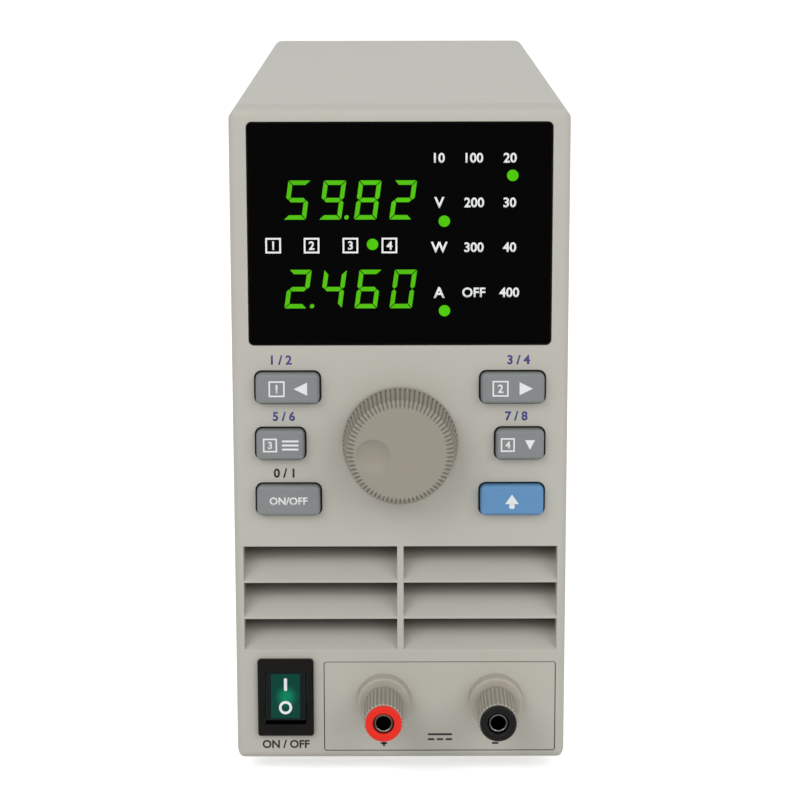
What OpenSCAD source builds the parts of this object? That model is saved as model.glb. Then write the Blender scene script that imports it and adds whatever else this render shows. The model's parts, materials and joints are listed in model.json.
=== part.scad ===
// Bench DC electronic load with a louvred front, keys, a control knob and binding posts.
// Axes: +X right, +Y to the rear, +Z up. Origin at the bottom centre of the whole object.
// Modules work in the case frame: y = 0 on the bezel face, z = 0 on the case bottom.

/* [Case] */
// Width of the case
case_w = 88; // [86:1:100]
// Height of the case without its feet
case_h = 175; // [173:1:195]
// Depth from the bezel face to the rear edge of the cover
case_d = 256; // [245:1:300]
// Radius of the four long edges
corner_r = 3; // [1.8:0.1:3.5]
// Sheet thickness of cover, base and rear panel
sheet_t = 1.2; // [0.8:0.1:1.5]
// Height of the sides of the base that show below the cover
base_side_h = 4; // [3.6:0.1:6]
// Height of the inner lips that carry the cover screws
lip_h = 16; // [13:0.5:20]
// Gap between bezel, cover and base
seam_gap = 0.3; // [0.1:0.05:0.5]
// Side clearance between nested sheet parts
nest_gap = 0.15; // [0.1:0.05:0.3]
// Set-back of the rear panel inside the cover
rear_set = 1; // [0.5:0.1:3]
// Depth of the flange around the rear panel
rear_flange_d = 11; // [9:0.5:14]

/* [Feet] */
// Height of the rubber feet
foot_h = 4; // [3.5:0.5:8]
// Radius of a foot at the case
foot_r = 7; // [6:0.5:9]
// Distance of the feet from the case sides
foot_side = 12; // [10:0.5:20]
// Distance of the front feet from the bezel face
foot_front = 34; // [28:1:60]
// Distance of the rear feet from the rear edge
foot_rear = 28; // [20:1:60]

/* [Bezel] */
// Depth of the bezel
bezel_d = 13; // [13:0.5:16]
// Thickness of the front wall
panel_t = 3.2; // [3:0.1:3.6]
// Thickness of the bezel rim
rim_t = 2.2; // [1.8:0.1:2.4]
// Radius of the front edges
front_r = 2; // [0.6:0.1:2]

/* [Display] */
// Distance of the display window from the case sides
window_side = 4.5; // [4.25:0.05:6]
// Height of the display window
window_h = 58.4; // [56:0.2:60]
// Distance of the window from the top of the case
window_top = 3.3; // [2.8:0.1:4]
// Thickness of the window
window_t = 1.6; // [1.2:0.1:1.8]
// Set-back of the window in its recess
window_set = 0.5; // [0.2:0.1:0.7]
// Corner radius of the window recess
window_r = 1.5; // [1:0.1:3]
// Width of the ledge behind the window
window_ledge = 2; // [1.5:0.1:3]
// Gap around inserted plates
insert_gap = 0.2; // [0.1:0.05:0.4]
// Width of a digit module
readout_w = 38; // [36:0.5:44]
// Height of a digit module
readout_h = 14; // [12:0.5:16]
// Thickness of a digit module
readout_t = 7; // [6:0.1:7.4]
// Height of the upper digit row below the window top
upper_drop = 20.2; // [18:0.2:22]
// Distance between the digit rows
readout_pitch = 23.2; // [20:0.2:25]
// Sideways place of the digit modules
readout_x = -12.8; // [-16:0.2:-10]
// Radius of an indicator lamp
lamp_r = 1.6; // [1:0.1:2]
// Sideways pitch of the indicator lamps
lamp_pitch_x = 9.1; // [8:0.1:9.6]
// Height pitch of the indicator lamps
lamp_pitch_z = 11.7; // [10:0.1:12]

/* [Keys] */
// Distance of the key holes from the case sides
key_margin = 5.8; // [5:0.1:7]
// Width of the wide key holes
key_wide_w = 17.6; // [16:0.1:18.5]
// Width of the narrow key holes
key_narrow_w = 13.6; // [12:0.1:16]
// Height of the key holes
key_hole_h = 9; // [8:0.1:10]
// Corner radius of the key holes
key_hole_r = 2; // [1:0.1:3]
// Distance of the top key row below the window
key_drop = 11; // [10:0.1:12]
// Distance between key rows
key_pitch = 15.05; // [14:0.05:15.5]
// Gap around a key
key_gap = 0.5; // [0.3:0.05:0.7]
// How far a key stands out of the bezel
key_proud = 2.6; // [1.5:0.1:4]
// Edge radius of a key
key_edge_r = 0.9; // [0.3:0.1:1.3]
// Travel of a key
key_travel = 1; // [0.3:0.1:1.2]

/* [Knob] */
// Radius of the knob at its base
knob_base_r = 15.15; // [13:0.05:15.5]
// Radius of the knob at its face
knob_face_r = 13.9; // [12:0.05:14.2]
// Width of the ribbed chamfer around the knob face
knob_chamfer = 1.4; // [0.6:0.1:1.5]
// Height of the plain skirt at the knob base
knob_skirt = 1; // [0.5:0.1:2]
// Distance of the knob face from the bezel
knob_reach = 12.2; // [11:0.1:16]
// Gap between knob and bezel
knob_gap = 0.8; // [0.4:0.1:1.5]
// Number of ribs around the knob
knob_ribs = 72; // [48:1:90]
// Radius of the finger dimple
dimple_r = 4.6; // [3:0.1:5]
// Distance of the finger dimple from the knob axis
dimple_x = 7.1; // [6:0.1:7.2]
// Depth of the finger dimple
dimple_d = 1.5; // [0.8:0.1:2]
// Radius of the encoder shaft
shaft_r = 3; // [2.5:0.1:3.2]

/* [Louvres] */
// Distance of the louvre slots from the case sides
louvre_side = 2.35; // [2.25:0.05:5]
// Width of the bar between the two columns
louvre_bar = 1.7; // [1:0.1:2.4]
// Height of the lowest slot above the case bottom
louvre_z = 29.7; // [29.4:0.1:31]
// Extra height of the sill of the lowest slots
louvre_sill = 0.9; // [0:0.1:1.5]
// Height of the plain strip between the louvres and the keys
louvre_room = 8; // [7.4:0.1:10]
// Thickness of the front edge of a vane
vane_edge = 0.55; // [0.4:0.05:1.2]
// Rise of a vane over its depth as a share of the louvre pitch
vane_share = 0.7; // [0.5:0.01:0.76]
// Depth of the vanes
vane_d = 9; // [7:0.1:10]
// Extra thickness of a vane at its rear
vane_swell = 1.2; // [0.6:0.1:2]

/* [Power switch] */
// Distance of the switch centre from the left case side
switch_x = 13.2; // [12.8:0.1:13.6]
// Height of the switch centre
switch_z = 17.5; // [16.5:0.1:18]
// Width of the switch flange
switch_w = 15; // [14.6:0.1:15.4]
// Height of the switch flange
switch_h = 21.4; // [20.8:0.1:22]
// Thickness of the switch flange
switch_flange_t = 1.6; // [1:0.1:2.4]
// Depth of the switch body
switch_d = 14; // [12:0.5:20]
// Width of the rocker
rocker_w = 10.6; // [9.6:0.1:10.8]
// Height of the rocker
rocker_h = 12.8; // [12:0.1:13.2]
// Half of the rocking angle
rocker_tilt = 10; // [6:0.5:12]

/* [Terminals] */
// Distance of the terminal plate from the left case side
terminal_left = 23.4; // [22.8:0.1:27]
// Height of the terminal plate
terminal_h = 25.1; // [23:0.1:25.6]
// Distance of the plate from the right case side
terminal_side = 2.4; // [2.2:0.1:3]
// Height of the lower edge of the plate
terminal_z = 2.1; // [2:0.1:2.8]
// Thickness of the terminal plate
terminal_t = 2; // [1.6:0.1:2.2]
// Set-back of the terminal plate
terminal_set = 0.2; // [0:0.1:0.4]
// Width of the ledge behind the terminal plate
terminal_ledge = 1.8; // [1.2:0.1:2.4]
// Distance between the binding posts
post_pitch = 30; // [22:0.5:32]
// Height of the posts above the lower edge of the plate
post_z = 14.35; // [12:0.05:14.6]
// Radius of a post collar
collar_r = 7.3; // [6.5:0.1:8]
// Thickness of a post collar
collar_t = 3.6; // [2.5:0.1:6]
// Thickness of a clamp washer
washer_t = 0.8; // [0.5:0.1:1.5]
// Radius of a clamp washer
washer_r = 4.6; // [4:0.1:5]
// Outer radius of a ribbed post cap
cap_r = 5.2; // [5:0.1:6.4]
// Length of a ribbed post cap
cap_l = 14.4; // [13:0.1:18]
// Number of ribs on a post cap
cap_ribs = 30; // [20:1:36]
// Radius of the coloured ring
ring_r = 4.8; // [4.5:0.1:5]
// Length of the coloured ring that shows
ring_t = 1.4; // [1:0.1:2.5]
// Radius of the opening in the coloured ring
ring_hole_r = 2.75; // [2.65:0.05:3]
// Radius of the post stud
stud_r = 2.9; // [2.8:0.05:3.1]
// Radius of the plug socket in the stud
socket_r = 2; // [1.9:0.05:2.1]
// Depth of the plug socket
socket_l = 14; // [12:0.5:15]

/* [Power stage] */
// Distance of the heat sink from the case sides
sink_side = 6; // [5:0.5:9]
// Height of the heat sink above the base
sink_h = 90.8; // [80:0.2:96]
// Length of the heat sink
sink_l = 130; // [126:1:140]
// Distance of the heat sink from the bezel face
sink_y = 60; // [45:1:64]
// Thickness of the heat sink plate
sink_plate_t = 8; // [5:0.5:12]
// Number of inner fins
sink_fins = 11; // [7:1:13]
// Thickness of an inner fin
sink_fin_t = 1.6; // [1.2:0.1:2.2]
// Height of the standoffs under the power board
standoff_h = 12; // [11:0.5:16]
// Thickness of the circuit boards
board_t = 1.6; // [1:0.1:1.8]
// Thickness of the bus bars
bar_t = 1.5; // [1:0.1:2.5]
// Width of the bus bars
bar_w = 10; // [8:0.5:12]

/* [Rear] */
// Distance of the fan from the case sides
fan_side = 4; // [3.75:0.25:5]
// Depth of the fan
fan_d = 25; // [20:1:26]
// Height of the fan centre
fan_z = 52; // [50:0.5:56]
// Number of fan blades
fan_blades = 7; // [5:1:9]
// How far the finger guard stands behind the cover edge
guard_reach = 6; // [4:0.5:8]
// Radius of the guard wire
guard_wire_r = 0.9; // [0.7:0.05:1.1]
// Distance of the mains inlet centre from the top
inlet_top = 33; // [30:0.5:36]
// Depth of the fuse drawer
drawer_l = 24; // [20:0.5:26]
// Travel of the voltage selector slider
selector_travel = 5.4; // [4:0.1:6.4]

/* [Hidden] */
$fn = 48;
// Named clearances
shaft_gap = 0.05;
press_gap = 0.02;
thread_gap = 0.08;
hole_gap = 0.1;
slide_gap = 0.2;
over = 1;

// Overall placing
collar_face_y = terminal_set - collar_t;
washer_face_y = collar_face_y - washer_t;
cap_face_y = washer_face_y - cap_l;
tip_y = cap_face_y - ring_t;
front_y = -(case_d + guard_reach + tip_y) / 2;

// Case
inner_w = case_w - 2 * sheet_t;
inner_h = case_h - 2 * sheet_t;
inner_r = max(corner_r - sheet_t, 0.4);
shell_y = bezel_d + seam_gap;
nest_w = inner_w - 2 * nest_gap;
nest_h = inner_h - 2 * nest_gap;
mid_z = case_h / 2;
rear_face_y = case_d - rear_set;
rear_inner_y = rear_face_y - sheet_t;

// Screws: thread radius, pan head radius and height
screw_r = 1.5;
head_r = 2.8;
head_t = 1.6;
flush_tail = 1.5;
foot_web = 1.6;
bezel_screw_l = 8;
board_screw_l = 5;
standoff_screw_l = 6;
lip_screw_z = 10;
lip_screw_inset = 30;
lip_screw_y = [bezel_d + lip_screw_inset, case_d / 2, case_d - rear_flange_d - lip_screw_inset];

// Display and board
window_w = case_w - 2 * window_side;
window_mid_z = case_h - window_top - window_h / 2;
window_bottom_z = window_mid_z - window_h / 2;
window_top_z = window_mid_z + window_h / 2;
readout_gap = 0.8;
board_y = panel_t + readout_gap + readout_t;
upper_z = window_top_z - upper_drop;
lamp_x0 = 11.5;
lamp_drop = 13.95;
lamp_z0 = window_top_z - lamp_drop;
lamp_rows = 4;
lamp_columns = 3;
lamp_body_t = 5;

// Keys: side of the front, row from the top, wide or narrow
key_list = [[-1, 0, true], [-1, 1, false], [-1, 2, true], [1, 0, true], [1, 1, false], [1, 2, true]];
key_top_z = window_bottom_z - key_drop;
key_flange_t = 0.9;
key_flange = 0.9;
plunger_r = 1.7;
plunger_l = 2.8;
plunger_bore = 0.2;
tact_w = 6;
tact_t = 3.4;
tact_face_y = board_y - tact_t;
key_rest_gap = 0.3;
plunger_y = tact_face_y - key_travel - key_rest_gap;
function key_w(i) = key_list[i][2] ? key_wide_w : key_narrow_w;
function key_x(i) = key_list[i][0] * (case_w / 2 - key_margin - key_w(i) / 2);
function key_z(i) = key_top_z - key_list[i][1] * key_pitch;
last_key_z = key_top_z - 2 * key_pitch;

// Display board and its screws
board_margin = 3.2;
board_w = case_w - 2 * rim_t - 2 * board_margin;
board_bottom_z = last_key_z - key_hole_h / 2;
board_top_z = window_top_z - window_ledge;
boss_r = 2.3;
pilot_r = 0.9;
pilot_floor = 0.6;
boss_room = 1.8;
boss_x = case_w / 2 - key_margin - key_wide_w - key_flange - boss_r - boss_room;
boss_places = [for (s = [-1, 1], z = [last_key_z, key_top_z]) [s * boss_x, z]];
louvre_lap = 1.4;
louvre_w = (case_w - louvre_bar) / 2 - louvre_side;
louvre_pitch = (last_key_z - key_hole_h / 2 - louvre_room - louvre_z) / 3;
vane_rise = vane_share * louvre_pitch;
louvre_top_z = louvre_z + 3 * louvre_pitch - vane_edge;
bezel_boss_x = 24;
bezel_boss_r = 2.2;
bezel_boss_z = (louvre_top_z + last_key_z - key_hole_h / 2) / 2;

// Knob and encoder
knob_z = key_top_z - key_pitch;
bush_r = 3.5 + max(shaft_r - 3, 0);
encoder_w = 12.5;
encoder_t = 6.2;
encoder_y = board_y - encoder_t;
shaft_end_y = board_y - 1;
bush_y = -3;
knob_face_t = 1.8;
knob_chamfer_d = 0.9;
dimple_turn = -7;
shaft_tip_y = knob_face_t - knob_reach;
flat_x = shaft_r - 1.2;
knob_room = 4;
knob_hollow_r = bush_r + knob_room;
knob_hollow_y = bush_y - 1.2;

// Power switch
switch_mid_x = -case_w / 2 + switch_x;
switch_body_w = switch_w - 2.2;
switch_body_h = switch_h - 2.4;
switch_bay_w = rocker_w + 2 * slide_gap;
pivot_y = 2.6;
pivot_r = 1.1;
switch_floor = 1.4;
tab = [6.3, 0.8, 9];
tab_root = 2;
tab_z = 5;
rocker_reach = 5;
rocker_dip = 0.8;
rocker_swing = norm([rocker_reach, rocker_h / 2]);
rocker_corner = atan2(rocker_h / 2, rocker_reach) + rocker_tilt;
switch_bay_h = 2 * (rocker_swing * sin(min(rocker_corner, 90)) + slide_gap);

// Terminals
terminal_w = case_w - terminal_side - terminal_left;
terminal_mid_x = case_w / 2 - terminal_side - terminal_w / 2;
terminal_mid_z = terminal_z + terminal_h / 2;
terminal_r = 0.8;
post_xs = [terminal_mid_x - post_pitch / 2, terminal_mid_x + post_pitch / 2];
post_mid_z = terminal_z + post_z;
terminal_back_y = terminal_set + terminal_t;
nut_r = 5.6;
nut_t = 5;
bar_room = 4;
bar_y = shell_y + sheet_t + bar_room;
stud_end_y = bar_y + bar_t + nut_t + 2;
nose_r = min(ring_hole_r - 0.3, stud_r - 0.1);
nose_l = 4.6;
stud_tip_y = tip_y + 1;
spigot_r = 3.8;
spigot_l = 3.4;

// Front frame openings
frame_edge = 3;
frame_low_z = [base_side_h + 1, terminal_z + terminal_h + 1];
frame_mid_z = [frame_low_z[1] + 2, louvre_top_z + 1];
frame_high_z = [board_bottom_z - 1, board_top_z + 1];

// Power stage
sink_w = case_w - 2 * sink_side;
sink_leg_t = 3;
sink_fin_bottom = 18;
sink_top_z = sheet_t + sink_h;
power_z = sink_top_z + standoff_h;
power_top_z = power_z + board_t;
power_side = 2;
power_w = sink_w - 2 * power_side;
power_l = 122;
power_inset = 4;
power_y = sink_y + power_inset;
standoff_r = 3.2;
standoff_inset = [4, 10];
bar_clear = 0.7;
bar_lap = standoff_inset[1] - head_r - bar_clear;
standoff_places = [
    for (x = [-1, 1], y = [standoff_inset[1], power_l - standoff_inset[1]])
        [x * (power_w / 2 - standoff_inset[0]), power_y + y]
];
transistor = [15.9, 20.8, 5];
transistor_places = [for (x = [-1, 1], y = [28, power_l - 34]) [x * 20, power_y + y]];
transistor_hole_y = 6;
cap_body_r = 8;
cap_body_h = 25;
cap_row_y = power_y + 42;
cap_xs = [-26, -8, 10];
shunt = [8, 24, 6];
shunt_x = 22;
shunt_leg = 4;
core = [48, 18, 40];
core_leg = 8;
core_mid_y = power_y + power_l - 24;
winding_gap = 0.3;

// Ribbon cable
ribbon_w = 24;
ribbon_t = 0.9;
ribbon_x = 20;
ribbon_z = window_mid_z - 10;
ribbon_drop_y = power_y + 20;
connector_t = 6;
connector = [ribbon_w + 4, 8];

// Fan
fan_w = case_w - 2 * fan_side;
fan_bore_r = fan_w / 2 - 2;
fan_hole = fan_w / 2 - 4.25;
fan_hole_r = 2.15;
fan_hub_r = 17.5;
fan_gap = 1;
fan_shaft_r = 1.5;
fan_blade_tilt = 38;
fan_front_y = rear_inner_y - fan_d;
strut_t = 4;
strut_w = 4;
strut_angles = [30 : 90 : 300];
bearing = [4, 8];
guard_y = case_d + guard_reach - guard_wire_r;
guard_rings = [for (share = [0.32, 0.53, 0.74, 0.95]) share * fan_bore_r];
guard_eye_r = 4;
guard_bend = 7;
fan_screw_l = 12;

// Inlet and selector
inlet_z = case_h - inlet_top;
inlet_flange = [50, 36, 2.5];
inlet_body = [28, 34, 27];
inlet_ear_x = 20;
bay = [24.8, 16.8, 17];
bay_z = 6.5;
bay_cut = 4;
drawer = [21.6, 7.6, drawer_l];
drawer_z = -9.6;
drawer_front = [24, 9.4, 1.5];
drawer_wall = 1.5;
pin_root = 4;
pin_size = [2, 18, 4];
pin_places = [[-7, -2], [7, -2], [0, 2]];
selector_z = (fan_z + fan_w / 2 + inlet_z - inlet_flange[1] / 2) / 2;
selector_flange = [32, 13.6, 1.2];
selector_core = [24, 11, 12];
flange_screw_z = [selector_z, inlet_z];
slider_w = 5.4;
slider_h = 5.6;
slider_proud = 0.8;
slider_d = 7;

plastic_grey = [0.72, 0.72, 0.68];
sheet_grey = [0.75, 0.75, 0.73];
key_grey = [0.5, 0.52, 0.53];
post_grey = [0.7, 0.69, 0.65];
black = [0.08, 0.08, 0.08];
steel = [0.7, 0.71, 0.72];
brass = [0.78, 0.66, 0.36];
board_green = [0.1, 0.35, 0.2];

// Moves the case frame to its place over the origin
module placed() {
    translate([0, front_y, foot_h]) children();
}

// Rectangle with round corners, about the origin
module rounded_rect(w, h, r) {
    square([w - 2 * r, h], center = true);
    square([w, h - 2 * r], center = true);
    for (x = [-1, 1], z = [-1, 1]) translate([x * (w / 2 - r), z * (h / 2 - r)]) circle(r);
}

// Raises an x-z drawing along the depth from y0 to y1
module across(y0, y1) {
    translate([0, y1, 0]) rotate([90, 0, 0]) linear_extrude(y1 - y0) children();
}

// Raises a y-z drawing along the width from x0 to x1
module sideways(x0, x1) {
    translate([x0, 0, 0]) rotate([90, 0, 90]) linear_extrude(x1 - x0) children();
}

// Turns a radius-depth drawing around the y axis
module lathe() {
    rotate([-90, 0, 0]) rotate_extrude() children();
}

// Round bar along the depth
module rod(y0, y1, r) {
    translate([0, y0, 0]) rotate([-90, 0, 0]) cylinder(h = y1 - y0, r = r);
}

// Rectangle from depth y0 to y1 and height -h/2 to h/2 with its front corners rounded
module front_rounded(h, y0, y1, r) {
    translate([y0 + r, -h / 2]) square([y1 - y0 - r, h]);
    translate([y0, -h / 2 + r]) square([y1 - y0, h - 2 * r]);
    for (s = [-1, 1]) translate([y0 + r, s * (h / 2 - r)]) circle(r);
}

// Block about the y axis with round long edges and round front edges
module soft_block(w, h, y0, y1, side_r, edge_r) {
    intersection() {
        across(y0, y1) rounded_rect(w, h, side_r);
        sideways(-w / 2 - over, w / 2 + over) front_rounded(h, y0, y1, edge_r);
        translate([0, 0, -h / 2 - over]) linear_extrude(h + 2 * over)
            rotate(90) mirror([0, 1]) front_rounded(w, y0, y1, edge_r);
    }
}

// Pan head screw along +Y with the underside of its head at y = 0
module pan_screw(r, l) {
    rod(-over / 100, l, r);
    lathe() polygon([[0, -head_t], [head_r * 0.6, -head_t], [head_r, -head_t * 0.45], [head_r, 0], [0, 0]]);
}

// Flush screw along +X with its head face at x = 0
module flush_screw() {
    rotate([0, 90, 0]) {
        cylinder(h = sheet_t, r1 = head_r, r2 = screw_r);
        cylinder(h = sheet_t * 2 + nest_gap + flush_tail, r = screw_r);
    }
}

// Countersunk hole for a flush screw
module flush_hole() {
    rotate([0, 90, 0]) {
        translate([0, 0, -hole_gap])
            cylinder(h = sheet_t + hole_gap, r1 = head_r + 2 * hole_gap, r2 = screw_r + hole_gap);
        cylinder(h = sheet_t * 2 + nest_gap + 2 * flush_tail, r = screw_r + hole_gap);
    }
}

// Repeats a thing at every place of a cover screw, turned to face inwards
module at_cover_screws() {
    for (s = [0, 1]) mirror([s, 0, 0]) {
        for (y = lip_screw_y) translate([-case_w / 2, y, lip_screw_z]) children();
        for (z = flange_screw_z) translate([-case_w / 2, rear_face_y - rear_flange_d / 2, z]) children();
    }
}

// Repeats a thing at every foot
module at_feet() {
    for (s = [-1, 1], y = [foot_front, case_d - foot_rear])
        translate([s * (case_w / 2 - foot_side), y, 0]) children();
}

// Case profile as a sheet of the given thickness
module case_ring() {
    difference() {
        rounded_rect(case_w, case_h, corner_r);
        rounded_rect(inner_w, inner_h, inner_r);
    }
}

// Six slots of the air inlet: the channel above each vane, seen from the side
module louvre_channels() {
    slot_h = louvre_pitch - vane_edge;
    for (row = [0 : 2], s = [0, 1]) mirror([s, 0, 0]) {
        top_rise = row == 2 ? vane_rise / 2 : vane_rise - vane_swell;
        z = louvre_z + row * louvre_pitch;
        sill = row == 0 ? louvre_sill : 0;
        sideways(louvre_bar / 2, louvre_bar / 2 + louvre_w)
            polygon([
                [-over, z + sill], [0, z + sill],
                [vane_d, z + vane_rise], [vane_d + over, z + vane_rise],
                [vane_d + over, z + slot_h + top_rise], [vane_d, z + slot_h + top_rise],
                [0, z + slot_h], [-over, z + slot_h]
            ]);
    }
}

module front_bezel() {
    block_h = louvre_top_z - louvre_z + 2 * louvre_lap + vane_rise / 2;
    color(plastic_grey) placed() difference() {
        union() {
            difference() {
                translate([0, 0, mid_z]) soft_block(case_w, case_h, 0, bezel_d, corner_r, front_r);
                translate([0, 0, mid_z]) across(panel_t, bezel_d + over)
                    square([case_w - 2 * rim_t, case_h - 2 * rim_t], center = true);
            }
            translate([-case_w / 2 + rim_t / 2, panel_t / 2, louvre_z - louvre_lap])
                cube([case_w - rim_t, vane_d - panel_t / 2, block_h]);
            for (p = boss_places) translate([p[0], 0, p[1]]) rod(panel_t / 2, board_y, boss_r);
            for (s = [-1, 1]) translate([s * bezel_boss_x, 0, bezel_boss_z])
                rod(panel_t / 2, shell_y, bezel_boss_r);
        }
        louvre_channels();
        translate([0, 0, window_mid_z]) {
            across(-over, window_set + window_t) rounded_rect(window_w, window_h, window_r);
            across(0, panel_t + over)
                square([window_w - 2 * window_ledge, window_h - 2 * window_ledge], center = true);
        }
        for (i = [0 : 5]) translate([key_x(i), 0, key_z(i)])
            across(-over, panel_t + over) rounded_rect(key_w(i), key_hole_h, key_hole_r);
        translate([0, 0, knob_z]) rod(-over, panel_t + over, bush_r + slide_gap);
        translate([switch_mid_x, 0, switch_z]) across(-over, panel_t + over)
            square([switch_body_w + 2 * hole_gap, switch_body_h + 2 * hole_gap], center = true);
        translate([terminal_mid_x, 0, terminal_mid_z]) {
            across(-over, terminal_set + terminal_t) rounded_rect(terminal_w, terminal_h, terminal_r);
            across(0, panel_t + over)
                square([terminal_w - 2 * terminal_ledge, terminal_h - 2 * terminal_ledge], center = true);
        }
        for (p = boss_places) translate([p[0], 0, p[1]]) rod(panel_t + pilot_floor, board_y + over, pilot_r);
        for (s = [-1, 1]) translate([s * bezel_boss_x, 0, bezel_boss_z])
            rod(panel_t + pilot_floor, shell_y + over, pilot_r);
    }
}

module display_window() {
    color(black) placed() translate([0, 0, window_mid_z])
        across(window_set, window_set + window_t)
            rounded_rect(window_w - 2 * insert_gap, window_h - 2 * insert_gap, window_r - insert_gap);
}

module terminal_plate() {
    color(plastic_grey) placed() difference() {
        translate([terminal_mid_x, 0, terminal_mid_z]) across(terminal_set, terminal_back_y)
            rounded_rect(terminal_w - 2 * insert_gap, terminal_h - 2 * insert_gap, terminal_r - insert_gap);
        for (x = post_xs) translate([x, 0, post_mid_z]) rod(-over, panel_t + over, stud_r + hole_gap);
    }
}

module top_cover() {
    color(sheet_grey) placed() difference() {
        translate([0, 0, mid_z]) across(shell_y, case_d) intersection() {
            case_ring();
            translate([-case_w, base_side_h + seam_gap - mid_z]) square([2 * case_w, case_h]);
        }
        at_cover_screws() flush_hole();
    }
}

module base_chassis() {
    color(steel) placed() difference() {
        union() {
            translate([0, 0, mid_z]) across(shell_y, case_d) intersection() {
                case_ring();
                translate([-case_w, -case_h]) square([2 * case_w, case_h - mid_z + base_side_h]);
            }
            for (s = [0, 1]) mirror([s, 0, 0])
                translate([nest_w / 2 - sheet_t, shell_y, sheet_t / 2])
                    cube([sheet_t, case_d - rear_flange_d - rear_set - over - shell_y, lip_h - sheet_t / 2]);
            translate([0, 0, mid_z]) across(shell_y, shell_y + sheet_t) rounded_rect(nest_w, nest_h, inner_r);
            translate([-nest_w / 2 + inner_r, shell_y, sheet_t / 2])
                cube([nest_w - 2 * inner_r, sheet_t, base_side_h]);
        }
        for (z = [frame_low_z, frame_mid_z, frame_high_z])
            translate([-nest_w / 2 + frame_edge, shell_y - over, z[0]])
                cube([nest_w - 2 * frame_edge, sheet_t + 2 * over, z[1] - z[0]]);
        at_cover_screws() flush_hole();
        at_feet() translate([0, 0, -over]) cylinder(h = sheet_t + 2 * over, r = screw_r + hole_gap);
        for (s = [-1, 1]) translate([s * bezel_boss_x, 0, bezel_boss_z])
            rod(bezel_d, shell_y + sheet_t + over, screw_r + hole_gap);
    }
}

// Outline of the inlet body with a named growth on every side
module inlet_outline(grow) {
    square([inlet_body[0] + 2 * grow, inlet_body[1] + 2 * grow], center = true);
}

module rear_panel() {
    color(sheet_grey) placed() difference() {
        translate([0, 0, mid_z]) difference() {
            across(rear_face_y - rear_flange_d, rear_face_y) rounded_rect(nest_w, nest_h, inner_r);
            across(rear_face_y - rear_flange_d - over, rear_inner_y)
                square([nest_w - 2 * sheet_t, nest_h - 2 * sheet_t], center = true);
        }
        translate([0, 0, fan_z]) {
            rod(rear_inner_y - over, rear_face_y + over, fan_bore_r);
            for (x = [-1, 1], z = [-1, 1]) translate([x * fan_hole, 0, z * fan_hole])
                rod(rear_inner_y - over, rear_face_y + over, fan_hole_r);
        }
        translate([0, 0, inlet_z]) {
            across(rear_inner_y - over, rear_face_y + over) inlet_outline(slide_gap);
            for (s = [-1, 1]) translate([s * inlet_ear_x, 0, 0])
                rod(rear_inner_y - over, rear_face_y + over, screw_r + hole_gap);
        }
        translate([0, 0, selector_z]) across(rear_inner_y - over, rear_face_y + over)
            square([selector_core[0] + 2 * slide_gap, selector_core[1] + 2 * slide_gap], center = true);
        at_cover_screws() flush_hole();
    }
}

module rubber_feet() {
    recess_r = head_r + 0.6;
    color(black) placed() at_feet() rotate([180, 0, 0]) rotate_extrude()
        polygon([
            [screw_r + hole_gap, 0], [foot_r, 0], [foot_r - 0.3, foot_h - 0.8], [foot_r - 1.1, foot_h],
            [recess_r, foot_h], [recess_r, foot_web], [screw_r + hole_gap, foot_web]
        ]);
}

module foot_screws() {
    color(steel) placed() at_feet() translate([0, 0, -foot_web]) rotate([90, 0, 0])
        pan_screw(screw_r, foot_web + sheet_t + flush_tail);
}

module cover_screws() {
    color(black) placed() at_cover_screws() flush_screw();
}

// Screws of the front frame, the display board, the power board and the transistors
module inner_screws() {
    color(steel) placed() {
        for (s = [-1, 1]) translate([s * bezel_boss_x, shell_y + sheet_t, bezel_boss_z])
            rotate([0, 0, 180]) pan_screw(pilot_r - press_gap, bezel_screw_l);
        for (p = boss_places) translate([p[0], board_y + board_t, p[1]])
            rotate([0, 0, 180]) pan_screw(pilot_r - press_gap, board_screw_l);
        for (p = standoff_places) translate([p[0], p[1], power_top_z])
            rotate([-90, 0, 0]) pan_screw(screw_r - press_gap, standoff_screw_l);
        for (p = transistor_places)
            translate([p[0], p[1] + transistor_hole_y, sink_top_z + transistor[2]])
                rotate([-90, 0, 0]) pan_screw(screw_r, transistor[2]);
    }
}

module display_board() {
    board_h = board_top_z - board_bottom_z;
    color(board_green) placed() difference() {
        union() {
            translate([0, 0, board_bottom_z + board_h / 2]) across(board_y, board_y + board_t)
                square([board_w, board_h], center = true);
            translate([ribbon_x - connector[0] / 2, board_y + board_t / 2, ribbon_z - connector[1] / 2])
                cube([connector[0], board_t / 2 + connector_t, connector[1]]);
        }
        for (p = boss_places) translate([p[0], 0, p[1]])
            rod(board_y - over, board_y + board_t + over, pilot_r + hole_gap);
    }
}

// Digit module with a raised face frame
module readout(z) {
    color([0.15, 0.16, 0.15]) placed() translate([readout_x, 0, z]) difference() {
        soft_block(readout_w, readout_h, board_y - readout_t, board_y, 0.8, 0.4);
        across(board_y - readout_t - over, board_y - readout_t + 0.5)
            square([readout_w - 2, readout_h - 2], center = true);
    }
}

module upper_readout() { readout(upper_z); }
module lower_readout() { readout(upper_z - readout_pitch); }

module indicator_lamps() {
    color([0.4, 0.8, 0.2]) placed()
        for (row = [0 : lamp_rows - 1], column = [0 : lamp_columns - 1])
            translate([lamp_x0 + column * lamp_pitch_x, 0, lamp_z0 - row * lamp_pitch_z]) {
                rod(board_y - lamp_body_t + lamp_r, board_y, lamp_r);
                translate([0, board_y - lamp_body_t + lamp_r, 0]) sphere(lamp_r);
            }
}

module key_switches() {
    color([0.2, 0.2, 0.2]) placed() for (i = [0 : 5]) translate([key_x(i), 0, key_z(i)]) difference() {
        across(tact_face_y, board_y) rounded_rect(tact_w, tact_w, 0.4);
        rod(tact_face_y - over, board_y - 0.4, plunger_r + plunger_bore);
    }
}

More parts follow.
